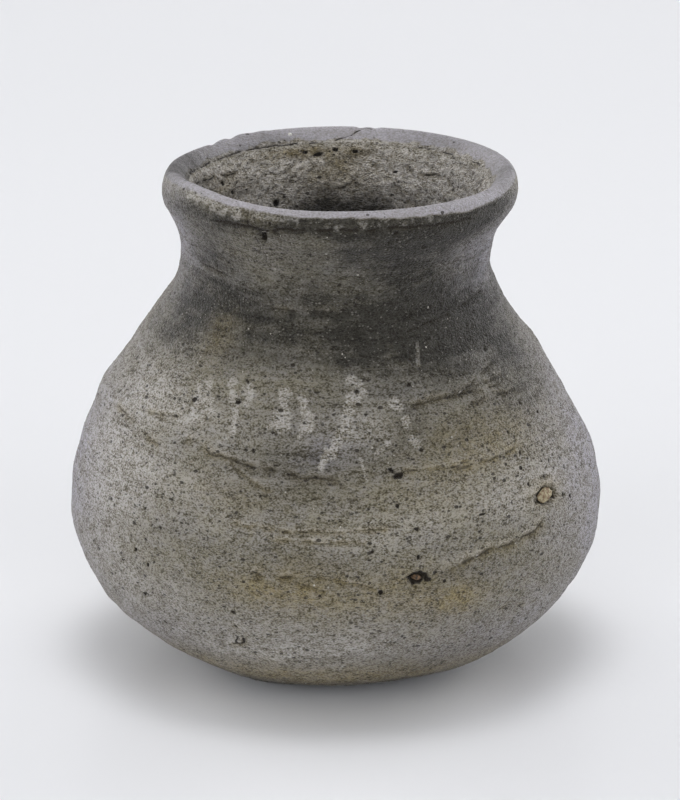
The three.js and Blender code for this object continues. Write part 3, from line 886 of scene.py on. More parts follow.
def stain_outside(skin, seed):
    """Fills the masks of the outside with ragged clouds, and wipes them off the crest and the bevel."""
    place = skin.place
    profile = skin.profile
    distance = skin.distance[:, None]
    ragged = waves(place, seed, (0.55, 7), (0.4, 2.4))
    streaky = waves(place, seed + 2, (1, (16, 16, 1.6)))
    crumbly = waves(place, seed + 3, (0.35, 2.6), (0.4, 1.1))
    crumbling = waves(place, seed + 5, (0.9, 3.5), (0.4, 1.3))
    for name, clouds in CLOUDS.items():
        total = cloud_sum(skin, clouds)
        if name == "lime":
            skin.masks[name] += ease(total + crumbly, *CRUST_EDGE) * np.clip(total * 1.4, 0, 1)
            continue
        breaking = 0.65 * ragged + 0.35 * streaky if name == "soot" else ragged
        skin.masks[name] += np.clip(total * (1 + 0.7 * breaking), 0, 1)

    # The wiped crest reaches further down at the front right
    wider = 1.1 * swell(turn_between(skin.angle, -44), 26)[None, :]
    start = profile.distance_to("roll", 0.6)
    wiped = ease(distance + MM * (0.5 * ragged + wider), start, start + 0.6 * MM)
    skin.masks["polish"] += wiped
    for name in CLOUDS:
        skin.masks[name] *= 1 - WIPED_OFF * wiped
    skin.masks["soot"] += wiped * np.clip(cloud_sum(skin, CREST_SOOT) * (1 + 0.5 * ragged), 0, 1)

    # The inner edge of the bevel is worn back to the colour of the lining
    worn = ease(distance + MM * crumbling, profile.total - 1.0 * MM, profile.total - 0.4 * MM)
    skin.masks["polish"] *= 1 - worn
    skin.masks["lining"] += worn
    skin.masks["ochre"] += 0.15 * worn


def stain_inside(skin, seed):
    """Paints shade on the inner wall, darker towards the bottom and in its hollows, and stains it rusty in
    places.
    """
    ragged = waves(skin.place, seed, (0.6, 6), (0.5, 2.2))
    deep = ease(-skin.lift, 0.0, 0.5 * MM)
    lining = skin.masks["lining"]
    soot = cloud_sum(skin, INNER_SHADE) * (1 + 0.5 * ragged) + 0.15 * deep
    ochre = cloud_sum(skin, INNER_OCHRE) * (1 + ragged)
    skin.masks["soot"] += np.clip(soot, 0, 1) * lining
    skin.masks["ochre"] += np.clip(ochre, 0, 1) * lining


def finger_ridges(shape, place):
    """Height of the wave that climbs one pitch in each turn, the same as in the solids."""
    height = place[..., 2]
    foot = ease(height, 0, shape.belly_height)
    top = 1 - ease(height, shape.waist_height, shape.lip_height)
    turn = np.arctan2(place[..., 1], place[..., 0])
    return foot * top * np.cos(2 * np.pi * height / shape.ridge_pitch - turn)


def untrue(shape, lean, place):
    """Leans the axis and makes the lip uneven, the same as in the solids."""
    crest, edge, _ = lip_points(shape)
    x, y, height = np.moveaxis(place, -1, 0)
    angle = np.degrees(np.arctan2(y, x))
    rim_share = ease(height, shape.waist_height, crest[1])
    lean_height = shape.belly_height + (shape.waist_height - shape.belly_height) * lean.lean_share
    tilt = -lean.lip_tilt * y / crest[0]
    rise = lean.lip_rise * swell(turn_between(angle, lean.lip_rise_angle), lean.lip_change_spread)
    sag = lean.lip_sag * swell(turn_between(angle, lean.lip_sag_angle), lean.lip_change_spread)
    moved = place.copy()
    moved[..., 0] += lean.lip_lean * rim_share
    moved[..., 0] -= lean.shoulder_lean * swell(height - lean_height, lean.lean_reach)
    moved[..., 2] += rim_share * (tilt + rise - sag) * np.minimum(1, np.hypot(x, y) / edge[0])
    return moved


def finished_places(skin, shape, lean, axis):
    """Where each point of a skin ends up, with its ridges, its relief and its lean."""
    depth = shape.outer_ridge if skin.outside else shape.inner_ridge
    across = skin.place[..., :2] / skin.radius[:, None, None]
    place = skin.place.copy()
    place[..., :2] += across * (depth * finger_ridges(shape, skin.place))[..., None]
    place += skin.normal * skin.lift[..., None]
    place = untrue(shape, lean, place)
    place[..., :2] += np.array([axis.x, axis.y])
    place[..., 2] = np.maximum(place[..., 2], 0)
    return place


def make_skins(scene, axis):
    """Both sides of the wall, with everything that lies on them."""
    shape = scene.pot_shape
    relief = scene.clay_relief
    outer = Skin(outside_profile(shape), 0, True)
    inner = Skin(inside_profile(shape), shape.lap, False)
    shape_outside(outer, relief)
    shape_inside(inner, relief)
    under_crest = outer.profile.distance_to("roll", 0.4)
    shoulder = inner.profile.distance_to("body", 0.4)
    throat = inner.profile.total - 1.2 * MM
    scatter_pits(outer, relief.seed + 41, relief.pit_count, WORN_FOOT[1], under_crest, 0.95 * MM, 0.6)
    scatter_pits(inner, relief.seed + 40, relief.inner_pit_count, shoulder, throat, 0.8 * MM, 0.3)
    mark_outside(outer)
    mark_inside(inner)
    open_stone_pits(outer, axis)
    stain_outside(outer, relief.seed + 60)
    stain_inside(inner, relief.seed + 80)
    for skin in (outer, inner):
        skin.final = finished_places(skin, shape, scene.pot_lean, axis)
    return outer, inner


def joint_rows(start, end, towards):
    """Rows across an oblique joint, a little back from its neighbour."""
    rows = np.stack([start + (end - start) * t for t in JOINT_STEPS])
    rows[..., 2] += towards * JOINT_RECESS
    return rows


def section_mesh(name, index, outer, inner):
    """Closed mesh of one section: outside up, across the joint above, inside down, across the one below."""
    first = index == 0
    last = index == len(SECTIONS) - 1
    outer_rows = np.arange(outer.marks[index], outer.marks[index + 1] + 1)
    inner_rows = np.arange(inner.marks[index + 1] - int(last), inner.marks[index] - 1, -1)
    up = outer.final[outer_rows]
    down = inner.final[inner_rows]
    above = up[:0] if last else joint_rows(up[-1], down[0], -1)
    below = up[:0] if first else joint_rows(down[-1], up[0], 1)
    inner_start = len(up) + len(above)
    corners = []
    if not last:
        corners += [len(up) - 1, inner_start]
    if not first:
        corners += [0, inner_start + len(down) - 1]
    values = {}
    for mask in MASKS:
        broken = float(mask == "lining")
        parts = [outer.masks[mask][outer_rows], np.full(above.shape[:2], broken)]
        parts += [inner.masks[mask][inner_rows], np.full(below.shape[:2], broken)]
        values[mask] = np.concatenate(parts)
    poles = [up[0].mean(axis=0), down[-1].mean(axis=0)] if first else []
    return grid_to_mesh(name, np.concatenate([up, above, down, below]), values, poles, corners)


def ring_faces(index):
    """Faces of a grid of vertices that closes round."""
    wrapped = np.concatenate([index, index[:, :1]], axis=1)
    corners = [wrapped[:-1, :-1], wrapped[:-1, 1:], wrapped[1:, 1:], wrapped[1:, :-1]]
    return np.stack(corners, axis=-1).reshape(-1, 4)


def grid_to_mesh(name, grid, values, poles, corners):
    """Mesh of a grid that closes round, and along its rows too or else at two poles."""
    rows, columns = grid.shape[:2]
    index = np.arange(rows * columns).reshape(rows, columns)
    faces = [ring_faces(index if poles else np.concatenate([index, index[:1]]))]
    points = [grid.reshape(-1, 3)]
    if poles:
        pole = np.full(columns, rows * columns)
        faces.append(np.stack([pole, np.roll(index[0], -1), index[0]], 1))
        faces.append(np.stack([index[-1], np.roll(index[-1], -1), pole + 1], 1))
        points.append(np.array(poles))
    vertices = np.concatenate(points)
    loops = np.concatenate([part.ravel() for part in faces])
    sizes = np.concatenate([np.full(len(part), part.shape[1]) for part in faces])
    mesh = bpy.data.meshes.new(name)
    mesh.vertices.add(len(vertices))
    mesh.vertices.foreach_set("co", vertices.astype(np.float32).ravel())
    mesh.loops.add(len(loops))
    mesh.loops.foreach_set("vertex_index", loops.astype(np.int32))
    mesh.polygons.add(len(sizes))
    starts = np.concatenate([[0], np.cumsum(sizes)[:-1]])
    mesh.polygons.foreach_set("loop_start", starts.astype(np.int32))
    mesh.update(calc_edges=True)
    mesh.shade_smooth()
    for mask, value in values.items():
        flat = np.concatenate([value.ravel(), np.full(len(poles), value.ravel()[0])])
        attribute = mesh.attributes.new(mask, "FLOAT", "POINT")
        attribute.data.foreach_set("value", flat.astype(np.float32))
    mark_sharp_rows(mesh, columns, corners, rows * columns)
    return mesh


def mark_sharp_rows(mesh, columns, corners, count):
    """Keeps the corners of the joints sharp, so that the wall's shading doesn't roll over them."""
    ends = np.zeros(len(mesh.edges) * 2, np.int32)
    mesh.edges.foreach_get("vertices", ends)
    ends = ends.reshape(-1, 2)
    row = np.where(ends < count, ends // columns, -1)
    sharp = (row[:, 0] == row[:, 1]) & np.isin(row[:, 0], corners)
    attribute = mesh.attributes.new("sharp_edge", "BOOLEAN", "EDGE")
    attribute.data.foreach_set("value", sharp)


def add_object(name, data):
    """A new object in the scene."""
    made = bpy.data.objects.new(name, data)
    bpy.context.scene.collection.objects.link(made)
    return made


def coated_piece(name, mesh, material):
    """A piece of one material."""
    mesh.materials.append(material)
    return add_object(name, mesh)


def pot_axis():
    """Where the pot's own axis stands, from its base, which doesn't lean."""
    low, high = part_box("base_pad")
    return Vector(((low.x + high.x) / 2, (low.y + high.y) / 2, 0))


class Value:
    """A number that nodes work out. Each operator adds the node that works out the next one."""

    def __init__(self, tree, socket):
        self.tree = tree
        self.socket = socket

    def __add__(self, other):
        return self.tree.math("ADD", self, other)

    def __sub__(self, other):
        return self.tree.math("SUBTRACT", self, other)

    def __mul__(self, other):
        return self.tree.math("MULTIPLY", self, other)

    def __truediv__(self, other):
        return self.tree.math("DIVIDE", self, other)

    def __pow__(self, other):
        return self.tree.math("POWER", self, other)

    def at_least(self, other):
        return self.tree.math("MAXIMUM", self, other)

    def at_most(self, other):
        return self.tree.math("MINIMUM", self, other)

    def below(self, other):
        """1 where this number is the smaller, and 0 elsewhere."""
        return self.tree.math("LESS_THAN", self, other)

    def eased(self, low, high, to_low=0.0, to_high=1.0):
        """One number below low, another above high, and smooth between."""
        node = self.tree.add("ShaderNodeMapRange", {"interpolation_type": "SMOOTHSTEP"}, self, low, high)
        self.tree.feed(node.inputs["To Min"], to_low)
        self.tree.feed(node.inputs["To Max"], to_high)
        return Value(self.tree, node.outputs["Result"])


class Tree:
    """Short ways to add and join the nodes of one tree."""

    def __init__(self, node_tree):
        self.node_tree = node_tree

    def feed(self, socket, value):
        """Joins a socket to what feeds it, or sets it to a plain number or colour."""
        if isinstance(value, Value):
            value = value.socket
        if isinstance(value, bpy.types.NodeSocket):
            self.node_tree.links.new(value, socket)
        elif socket.type == "RGBA":
            socket.default_value = (*value, 1.0)[:4]
        else:
            socket.default_value = value

    def add(self, kind, settings=None, *in_order, **by_name):
        """A new node, with its settings and with what feeds its inputs."""
        node = self.node_tree.nodes.new(kind)
        for name, value in (settings or {}).items():
            setattr(node, name, value)
        for socket, value in zip(node.inputs, in_order):
            self.feed(socket, value)
        for name, value in by_name.items():
            self.feed(node.inputs[name.replace("_", " ")], value)
        return node

    def value(self, socket):
        return Value(self, socket)

    def math(self, operation, a, b):
        return self.value(self.add("ShaderNodeMath", {"operation": operation}, a, b).outputs[0])

    def vector(self, operation, *vectors):
        return self.add("ShaderNodeVectorMath", {"operation": operation}, *vectors).outputs[0]

    def mix(self, factor, a, b, blend="MIX"):
        """Colour a, with colour b over it by the factor."""
        node = self.add("ShaderNodeMix", {"data_type": "RGBA", "blend_type": blend}, factor)
        self.feed(node.inputs[6], a)
        self.feed(node.inputs[7], b)
        return node.outputs[2]

    def shade(self, tint, red, green, blue):
        """A colour with each of its three parts multiplied."""
        parts = self.add("ShaderNodeCombineColor", None, red, green, blue)
        return self.mix(1.0, tint, parts.outputs[0], "MULTIPLY")

    def mask(self, name):
        return self.value(self.add("ShaderNodeAttribute", {"attribute_name": name}).outputs["Fac"])

    def noise(self, place, cell, detail=2.0, roughness=0.5):
        """Noise of about 0.2 to 0.8 whose cells are as wide as given, in metres."""
        node = self.add("ShaderNodeTexNoise", Vector=place, Scale=1 / cell, Detail=detail)
        self.feed(node.inputs["Roughness"], roughness)
        return self.value(node.outputs["Fac"])

    def wandering(self, place, cell, reach):
        """A place that noise shifts, so that what is drawn there wavers."""
        waver = self.add("ShaderNodeTexNoise", Vector=place, Scale=1 / cell, Detail=1.0)
        return self.vector("MULTIPLY_ADD", waver.outputs["Color"], reach, place)

    def group(self, name, **inputs):
        return self.add("ShaderNodeGroup", {"node_tree": bpy.data.node_groups[name]}, **inputs).outputs

    def bump(self, height, strength, distance):
        node = self.add("ShaderNodeBump", Height=height, Strength=strength, Distance=distance)
        return node.outputs["Normal"]


NUMBER = "NodeSocketFloat"
COLOUR = "NodeSocketColor"
VECTOR = "NodeSocketVector"
GEOMETRY = "NodeSocketGeometry"


def new_group(name, inputs, outputs, kind="ShaderNodeTree"):
    """A group of nodes with named sockets, and what it is given."""
    group = bpy.data.node_groups.new(name, kind)
    for in_out, sockets in (("INPUT", inputs), ("OUTPUT", outputs)):
        for socket, socket_type in sockets.items():
            group.interface.new_socket(socket, in_out=in_out, socket_type=socket_type)
    tree = Tree(group)
    return tree, tree.add("NodeGroupInput").outputs


# Marks of the sand: width of their cells in millimetres, shift in metres, share of the cells that have
# one, their size in a cell, and their strength
PIT_MARKS = ((0.6, 0.0, 0.6, 0.42, 0.6), (1.1, 0.007, 0.9, 0.34, 0.85), (2.4, 0.013, 0.9, 0.23, 1.0))
GRAIN_MARKS = ((0.7, 0.029, 1.0, 0.36, 1.0), (1.9, 0.047, 0.3, 0.18, 1.0))

# Fine unevenness between them: width of its cells in millimetres and strength
GRIT_WAVES = ((0.32, 2.0), (0.75, 0.85), (2.2, 0.6))


def sand_group():
    """Pits and grains of sand at several sizes, and the fine grit between them."""
    inputs = {"Place": VECTOR, "Pit Share": NUMBER, "Grain Share": NUMBER}
    outputs = {"Pits": NUMBER, "Grains": NUMBER, "Grit": NUMBER, "Height": NUMBER}
    tree, given = new_group("Sand and pits", inputs, outputs)
    place = tree.vector("MULTIPLY", given["Place"], (1.0, 1.0, 1.5))
    level = tree.vector("MULTIPLY", given["Place"], (0.75, 0.75, 1.2))
    ragged = tree.wandering(place, 0.35 * MM, (0.3 * MM, 0.3 * MM, 0.3 * MM))

    def spots(cell, offset, amount, size):
        """Crisp marks in some of the cells, each of its own size."""
        moved = tree.vector("ADD", ragged, (offset, offset, offset))
        cells = tree.add("ShaderNodeTexVoronoi", Vector=moved, Scale=1 / (cell * MM))
        parts = tree.add("ShaderNodeSeparateColor", Color=cells.outputs["Color"])
        chosen = tree.value(parts.outputs[0]).below(amount)
        reach = tree.value(parts.outputs[1]) * (size * 0.6) + size * 0.5
        return (tree.value(cells.outputs["Distance"]) / reach).eased(1.0, 0.78) * chosen

    def strongest(marks, amount):
        """Marks of several sizes, the strongest of them at each place."""
        found = None
        for cell, offset, part, size, strength in marks:
            mark = spots(cell, offset, amount * part, size) * strength
            found = mark if found is None else found.at_least(mark)
        return found

    crowded = tree.noise(place, 7 * MM).eased(0.36, 0.64, 0.35, 1.0)
    pits = strongest(PIT_MARKS, tree.value(given["Pit Share"]) * crowded)
    grains = strongest(GRAIN_MARKS, tree.value(given["Grain Share"]))
    grit = None
    for cell, strength in GRIT_WAVES:
        wave = (tree.noise(level, cell * MM, detail=1.5, roughness=0.6) - 0.5) * strength
        grit = wave if grit is None else grit + wave
    height = grains * 0.35 + grit - pits
    tree.add("NodeGroupOutput", Pits=pits, Grains=grains, Grit=grit, Height=height)


def turning_group():
    """Fine level lines left by turning the pot while the clay was wet."""
    inputs = {"Place": VECTOR, "Strength": NUMBER}
    tree, given = new_group("Turning lines", inputs, {"Lines": NUMBER})
    place = tree.wandering(given["Place"], 22 * MM, (0.0, 0.0, 3.0 * MM))
    fine = tree.noise(tree.vector("MULTIPLY", place, (0.09, 0.09, 1.0)), 0.55 * MM)
    wide = tree.noise(tree.vector("MULTIPLY", place, (0.06, 0.06, 1.0)), 1.7 * MM, detail=1.0)
    lines = (fine * 0.6 + wide * 0.4 - 0.5) * tree.value(given["Strength"])
    tree.add("NodeGroupOutput", Lines=lines)


# Stains of the clay, in the order that they lie on each other: how much noise breaks them up, and the most
# that they cover. The lilac-grey one is painted sheen; the smoke-black and the rusty ones also carry
# painted shade, and the pale one also carries painted highlight
STAINS = {
    "Pale": (2.0, 0.8),
    "Cool": (1.4, 0.9),
    "Ochre": (3.0, 0.85),
    "Soot": (1.1, 0.96),
    "Lime": (2.6, 0.72),
}


def firing_group():
    """Colour of the fired clay: clouds of warm and pale, lilac-grey painted sheen, smoke-blackening that
    also carries painted shade, lime, and rust that also browns painted shade.
    """
    inputs = {"Place": VECTOR, "Clay": COLOUR, "Warm": COLOUR}
    inputs |= {f"{stain} Colour": COLOUR for stain in STAINS}
    inputs |= {stain: NUMBER for stain in STAINS}
    tree, given = new_group("Firing clouds", inputs, {"Colour": COLOUR})
    place = tree.vector("MULTIPLY", given["Place"], (1.0, 1.0, 1.5))
    broad = tree.noise(place, 9 * MM, detail=3.0, roughness=0.6)
    middle = tree.noise(place, 3.2 * MM, detail=3.0, roughness=0.65)
    flecks = tree.noise(place, 1.1 * MM, roughness=0.7)
    blend = broad * 0.4 + middle * 0.35 + flecks * 0.25
    ragged = middle * 0.5 + flecks * 0.5 - 0.5
    tint = tree.mix(blend.eased(0.4, 0.6), given["Clay"], given["Warm"])
    for stain, (breaking, most) in STAINS.items():
        shown = tree.value(given[stain]) * (ragged * breaking + 1.0)
        tint = tree.mix(shown.at_least(0.0).at_most(most), tint, given[f"{stain} Colour"])
    tree.add("NodeGroupOutput", Colour=tint)


def shared_groups():
    """Builds the shader groups once, whichever operator comes first."""
    if "Sand and pits" not in bpy.data.node_groups:
        sand_group()
        turning_group()
        firing_group()


def new_material(name):
    """An empty material, its tree and the place on the object."""
    material = bpy.data.materials.new(name)
    material.use_nodes = True
    material.node_tree.nodes.clear()
    tree = Tree(material.node_tree)
    return material, tree, tree.add("ShaderNodeTexCoord").outputs["Object"]


def finish_material(tree, **inputs):
    """Adds the surface's shader with what feeds it, and the output."""
    surface = tree.add("ShaderNodeBsdfPrincipled", **inputs)
    tree.add("ShaderNodeOutputMaterial", Surface=surface.outputs["BSDF"])


# How much of the clay its fine marks cover
PIT_SHARE = 0.5
GRAIN_SHARE = 0.3
SMOOTH_PIT_SHARE = 0.12
LINING_PIT_SHARE = 0.6

# How much they change its tone, from its mean, and how much they rise in its bump. A darker tone is also
# warmer, by the powers of green and blue. The knobs and the turning lines in the tone are painted shade and
# highlight of their own relief
KNOB_SHADE = 1.2
LINE_SHADE = 2.3
MEAN_TONE = 1.03
TONE_LIMITS = (0.24, 1.4)
GREEN_POWER = 1.06
BLUE_POWER = 1.28
KNOB_RISE = 4.5
LINE_RISE = 2.4
BUMP_DEPTH = 0.36 * MM


def clay_material(name, colours):
    """Fired sandy clay. The masks on the mesh say where it is smoke-blackened, limy, rusty or wiped, and
    where painted shade, painted highlight and painted sheen lie.
    """
    material, tree, place = new_material(name)
    polish = tree.mask("polish")
    lining = tree.mask("lining")
    clay = tree.mix(polish, tree.mix(lining, colours.clay, colours.lining), colours.polished)
    warm = tree.mix(lining, tree.mix(polish, colours.clay_warm, colours.polished), colours.lining)
    stains = {stain: tree.mask(stain.lower()) for stain in STAINS}
    stains |= {f"{stain} Colour": getattr(colours, stain.lower()) for stain in STAINS}
    fired = tree.group("Firing clouds", Place=place, Clay=clay, Warm=warm, **stains)["Colour"]

    pit_share = polish.eased(0.0, 1.0, 1.0, SMOOTH_PIT_SHARE) * PIT_SHARE
    pit_share = pit_share * lining.eased(0.0, 1.0, 1.0, LINING_PIT_SHARE)
    sand = tree.group("Sand and pits", Place=place, Pit_Share=pit_share, Grain_Share=GRAIN_SHARE)
    grit = tree.value(sand["Grit"])
    lines = tree.group("Turning lines", Place=place, Strength=tree.mask("turned"))["Lines"]
    lines = tree.value(lines)
    knobs = (tree.noise(place, 1.1 * MM, detail=1.5) - 0.5) * lining

    # The tone follows the bump, darker where the clay lies lower: the grit is partly the clay's own speckle
    # and partly painted shade, the knobs and turning lines painted shade and highlight
    speckle_and_shade = polish.eased(0.0, 1.0, 1.7, 0.5) - lining * 0.5
    tone = grit * speckle_and_shade + knobs * KNOB_SHADE + lines * LINE_SHADE + MEAN_TONE
    tone = tone.at_least(TONE_LIMITS[0]).at_most(TONE_LIMITS[1])
    tint = tree.shade(fired, tone, tone**GREEN_POWER, tone**BLUE_POWER)
    tint = tree.mix(tree.value(sand["Grains"]) * 0.34, tint, colours.lime)
    # Painted shade in the fine pits of the sand, and in the pits, cracks and ledges marked on the mesh
    dark = (tree.value(sand["Pits"]) * 0.85).at_least(tree.mask("hollow").eased(0.2, 0.62, 0.0, 0.97))
    tint = tree.mix(dark, tint, colours.hollow)
    roughness = grit.eased(-0.2, 0.2, 0.86, 0.72) - polish * 0.08
    height = tree.value(sand["Height"]) + lines * LINE_RISE + knobs * KNOB_RISE
    height = height * (polish.eased(0.0, 1.0, 1.0, 0.4) + lining)
    finish_material(
        tree,
        Base_Color=tint,
        Roughness=roughness,
        Normal=tree.bump(height, 1.0, BUMP_DEPTH),
        IOR=1.45,
        Specular_IOR_Level=0.35,
        Sheen_Weight=0.1,
        Sheen_Roughness=0.4,
        Sheen_Tint=(0.92, 0.9, 1.0),
    )
    return material


def stone_material(name, low_tint, high_tint, roughness, cell):
    """A mineral grain, mottled between two colours and finely rough."""
    material, tree, place = new_material(name)
    mottle = tree.noise(place, cell, detail=4.0, roughness=0.6)
    sand = tree.group("Sand and pits", Place=place, Pit_Share=0.12, Grain_Share=0.2)
    shadow = tuple(part * 0.2 for part in low_tint)
    tint = tree.mix(mottle.eased(0.38, 0.62), low_tint, high_tint)
    tint = tree.mix(tree.value(sand["Pits"]) * 0.6, tint, shadow)
    rough = mottle.eased(0.3, 0.7, roughness, roughness + 0.2)
    normal = tree.bump(mottle + tree.value(sand["Height"]), 0.7, 0.08 * MM)
    finish_material(tree, Base_Color=tint, Roughness=rough, Normal=normal)
    return material


def sand_material(colours):
    """Sand grains, from dark to white by the tone that each one carries."""
    material, tree, place = new_material("sand")
    tone = tree.mask("tone")
    mottle = tree.noise(place, 0.3 * MM)
    shade = mottle.eased(0.3, 0.7, 0.75, 1.1)
    tint = tree.mix(tone.eased(0.2, 0.35), colours.dark_sand, colours.pale)
    tint = tree.mix(tone.eased(0.9, 0.98), tint, colours.quartz)
    tint = tree.shade(tint, shade, shade, shade)
    normal = tree.bump(mottle, 0.6, 0.05 * MM)
    finish_material(tree, Base_Color=tint, Roughness=tone.eased(0.7, 1.0, 0.75, 0.4), Normal=normal)
    return material


def floor_material(colour_of_floor):
    """Pale floor, smooth enough to mirror the pot's foot faintly."""
    material, tree, place = new_material("floor")
    shade = tree.noise(place, 0.4, detail=1.0).eased(0.3, 0.7, 0.985, 1.0)
    tint = tree.shade(colour_of_floor, shade, shade, shade)
    finish_material(tree, Base_Color=tint, Roughness=0.3, Specular_IOR_Level=0.5)
    return material


class POT_OT_clay_sections(bpy.types.Operator):
    """Builds the seven luted sections of clay, with their relief and stains"""

    bl_idname = "pot.clay_sections"
    bl_label = "Clay sections"

    def execute(self, context):
        shared_groups()
        colours = context.scene.clay_colours
        outer, inner = make_skins(context.scene, pot_axis())
        materials = {}
        for index, (name, (slot, *_)) in enumerate(SECTIONS.items()):
            if slot not in materials:
                materials[slot] = clay_material(slot, colours)
            mesh = section_mesh(name, index, outer, inner)
            piece = coated_piece(name + "_clay", mesh, materials[slot])
            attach(piece, BODY)
            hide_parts(name)
        add_sand(context, outer, inner)
        return {"FINISHED"}


# How deep a grain sinks in, in its own radius, and how far fine grains outnumber coarse ones
GRAIN_DEPTH = 0.45
FINE_GRAINS = 2.4


def sand_tree():
    """Scatters small angular grains over a surface and sinks each one into it."""
    inputs = {
        "Geometry": GEOMETRY,
        "Density": NUMBER,
        "Least Grain": NUMBER,
        "Greatest Grain": NUMBER,
        "Seed": "NodeSocketInt",
        "Material": "NodeSocketMaterial",
    }
    tree, given = new_group("Temper sand", inputs, {"Geometry": GEOMETRY}, "GeometryNodeTree")
    least = tree.value(given["Least Grain"])
    greatest = tree.value(given["Greatest Grain"])
    seed = tree.value(given["Seed"])

    def random_number(low, high, salt):
        node = tree.add("FunctionNodeRandomValue", {"data_type": "FLOAT"}, Seed=seed + salt)
        tree.feed(node.inputs[2], low)
        tree.feed(node.inputs[3], high)
        return tree.value(node.outputs[1])

    def vector_of(*parts):
        return tree.add("ShaderNodeCombineXYZ", None, *parts).outputs[0]

    def keep(geometry, domain, name, value):
        settings = {"data_type": "FLOAT", "domain": domain}
        node = tree.add("GeometryNodeStoreNamedAttribute", settings, Geometry=geometry, Name=name)
        tree.feed(node.inputs["Value"], value)
        return node.outputs["Geometry"]

    points = tree.add(
        "GeometryNodeDistributePointsOnFaces",
        Mesh=given["Geometry"],
        Density=given["Density"],
        Seed=given["Seed"],
    )
    size = (greatest - least) * random_number(0.0, 1.0, 1) ** FINE_GRAINS + least
    sized = keep(points.outputs["Points"], "POINT", "grain_size", size)
    kept = tree.add("GeometryNodeInputNamedAttribute", {"data_type": "FLOAT"}, Name="grain_size")
    kept = tree.value(kept.outputs["Attribute"])
    sunk = tree.add(
        "ShaderNodeVectorMath",
        {"operation": "SCALE"},
        points.outputs["Normal"],
        Scale=kept * -GRAIN_DEPTH,
    )
    settled = tree.add("GeometryNodeSetPosition", Geometry=sized, Offset=sunk.outputs[0])
    grain = tree.add("GeometryNodeMeshIcoSphere", Radius=1.0, Subdivisions=1)
    grains = tree.add(
        "GeometryNodeInstanceOnPoints",
        Points=settled.outputs["Geometry"],
        Instance=grain.outputs["Mesh"],
        Rotation=vector_of(*(random_number(-math.pi, math.pi, salt) for salt in (5, 6, 7))),
        Scale=vector_of(*(kept * random_number(0.65, 1.0, salt) for salt in (2, 3, 4))),
    )
    toned = keep(grains.outputs["Instances"], "INSTANCE", "tone", random_number(0.0, 1.0, 8))
    real = tree.add("GeometryNodeRealizeInstances", Geometry=toned).outputs["Geometry"]
    coat = tree.add("GeometryNodeSetMaterial", Geometry=real, Material=given["Material"])
    tree.add("NodeGroupOutput", Geometry=coat.outputs["Geometry"])
    return tree.node_tree


def sown_surface(outer, inner):
    """Temporary open mesh of the surfaces that show sand: the wall above the foot, and inside the neck."""
    points = []
    faces = []
    count = 0
    for skin, low in ((outer, 28 * MM), (inner, inner.profile.distance_to("body", 0.5))):
        rows = np.flatnonzero(skin.distance > low)[::2]
        grid = skin.final[rows][:, ::2]
        quads = count + ring_faces(np.arange(grid[..., 0].size).reshape(grid.shape[:2]))
        faces.append(quads if skin.outside else quads[:, ::-1])
        points.append(grid.reshape(-1, 3))
        count += len(points[-1])
    mesh = bpy.data.meshes.new("sown surface")
    mesh.from_pydata(np.concatenate(points).tolist(), [], np.concatenate(faces).tolist())
    return mesh


def add_sand(context, outer, inner):
    """Scatters the temper's grains with Geometry Nodes and keeps them as one plain mesh."""
    settings = context.scene.temper_sand
    source = add_object("sown surface", sown_surface(outer, inner))
    modifier = source.modifiers.new("Temper sand", "NODES")
    modifier.node_group = sand_tree()
    values = {
        "Density": settings.density,
        "Least Grain": settings.least,
        "Greatest Grain": settings.greatest,
        "Seed": settings.seed,
        "Material": sand_material(context.scene.clay_colours),
    }
    for item in modifier.node_group.interface.items_tree:
        if item.in_out == "INPUT" and item.name in values:
            modifier[item.identifier] = values[item.name]
    grown = bpy.data.meshes.new_from_object(source.evaluated_get(context.evaluated_depsgraph_get()))
    source.modifiers.clear()
    bpy.data.objects.remove(source)
    if not grown.polygons:
        raise RuntimeError("the temper sand came out empty")
    grown.name = "sand_temper"
    piece = add_object("sand_temper", grown)
    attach(piece, BODY)


STONE_PLANES = 11
STONE_REACH = (0.6, 0.9)
WHITE_QUARTZ = (0.9, 0.9, 0.88)

# Large grains: slot, size round the wall, up it and through it in millimetres, and seed
STONES = {
    "belly_grain": ("stone_yellow", (5.3, 3.0, 2.2), 3),
    "lower_grain": ("stone_brown", (2.2, 1.2, 1.8), 8),
    "rim_quartz": ("stone_quartz", (1.2, 0.9, 1.4), 12),
}


def stone_mesh(name, size, turn, middle, seed):
    """An angular grain: a ball cut by random planes, with a finely broken surface."""
    random = np.random.default_rng(seed)
    shell = bmesh.new()
    bmesh.ops.create_icosphere(shell, subdivisions=5, radius=1.0)
    mesh = bpy.data.meshes.new(name)
    shell.to_mesh(mesh)
    shell.free()
    points = np.zeros(len(mesh.vertices) * 3, np.float32)
    mesh.vertices.foreach_get("co", points)
    points = points.reshape(-1, 3).astype(float)
    planes = random.normal(size=(STONE_PLANES, 3))
    planes /= np.linalg.norm(planes, axis=1, keepdims=True)
    reach = random.uniform(*STONE_REACH, STONE_PLANES)
    facing = np.maximum(points @ planes.T, 1e-3)
    far = np.minimum((reach / facing).min(axis=1), 0.97)
    far *= 1 + 0.09 * noise(points, 0.35, seed) + 0.045 * noise(points, 0.13, seed + 1)
    points *= far[:, None] * np.array(size) * MM / 2
    points = points @ turn.T + np.array(middle)
    mesh.vertices.foreach_set("co", points.astype(np.float32).ravel())
    mesh.update()
    mesh.shade_smooth()
    return mesh


def stone_basis(node, profile, axis):
    """Directions round the wall, up it and out of it where a grain lies."""
    angle, height = node_place(node, axis)
    on_bevel = node == "rim_quartz"
    distance = profile.distance_to("bevel", 0.45) if on_bevel else profile.at_height(height)
    across, rise = profile.slope(distance)
    turn = math.radians(angle)
    round_wall = np.array([-math.sin(turn), math.cos(turn), 0])
    up_wall = np.array([math.cos(turn) * across, math.sin(turn) * across, rise])
    return np.stack([round_wall, up_wall, np.cross(round_wall, up_wall)], 1)


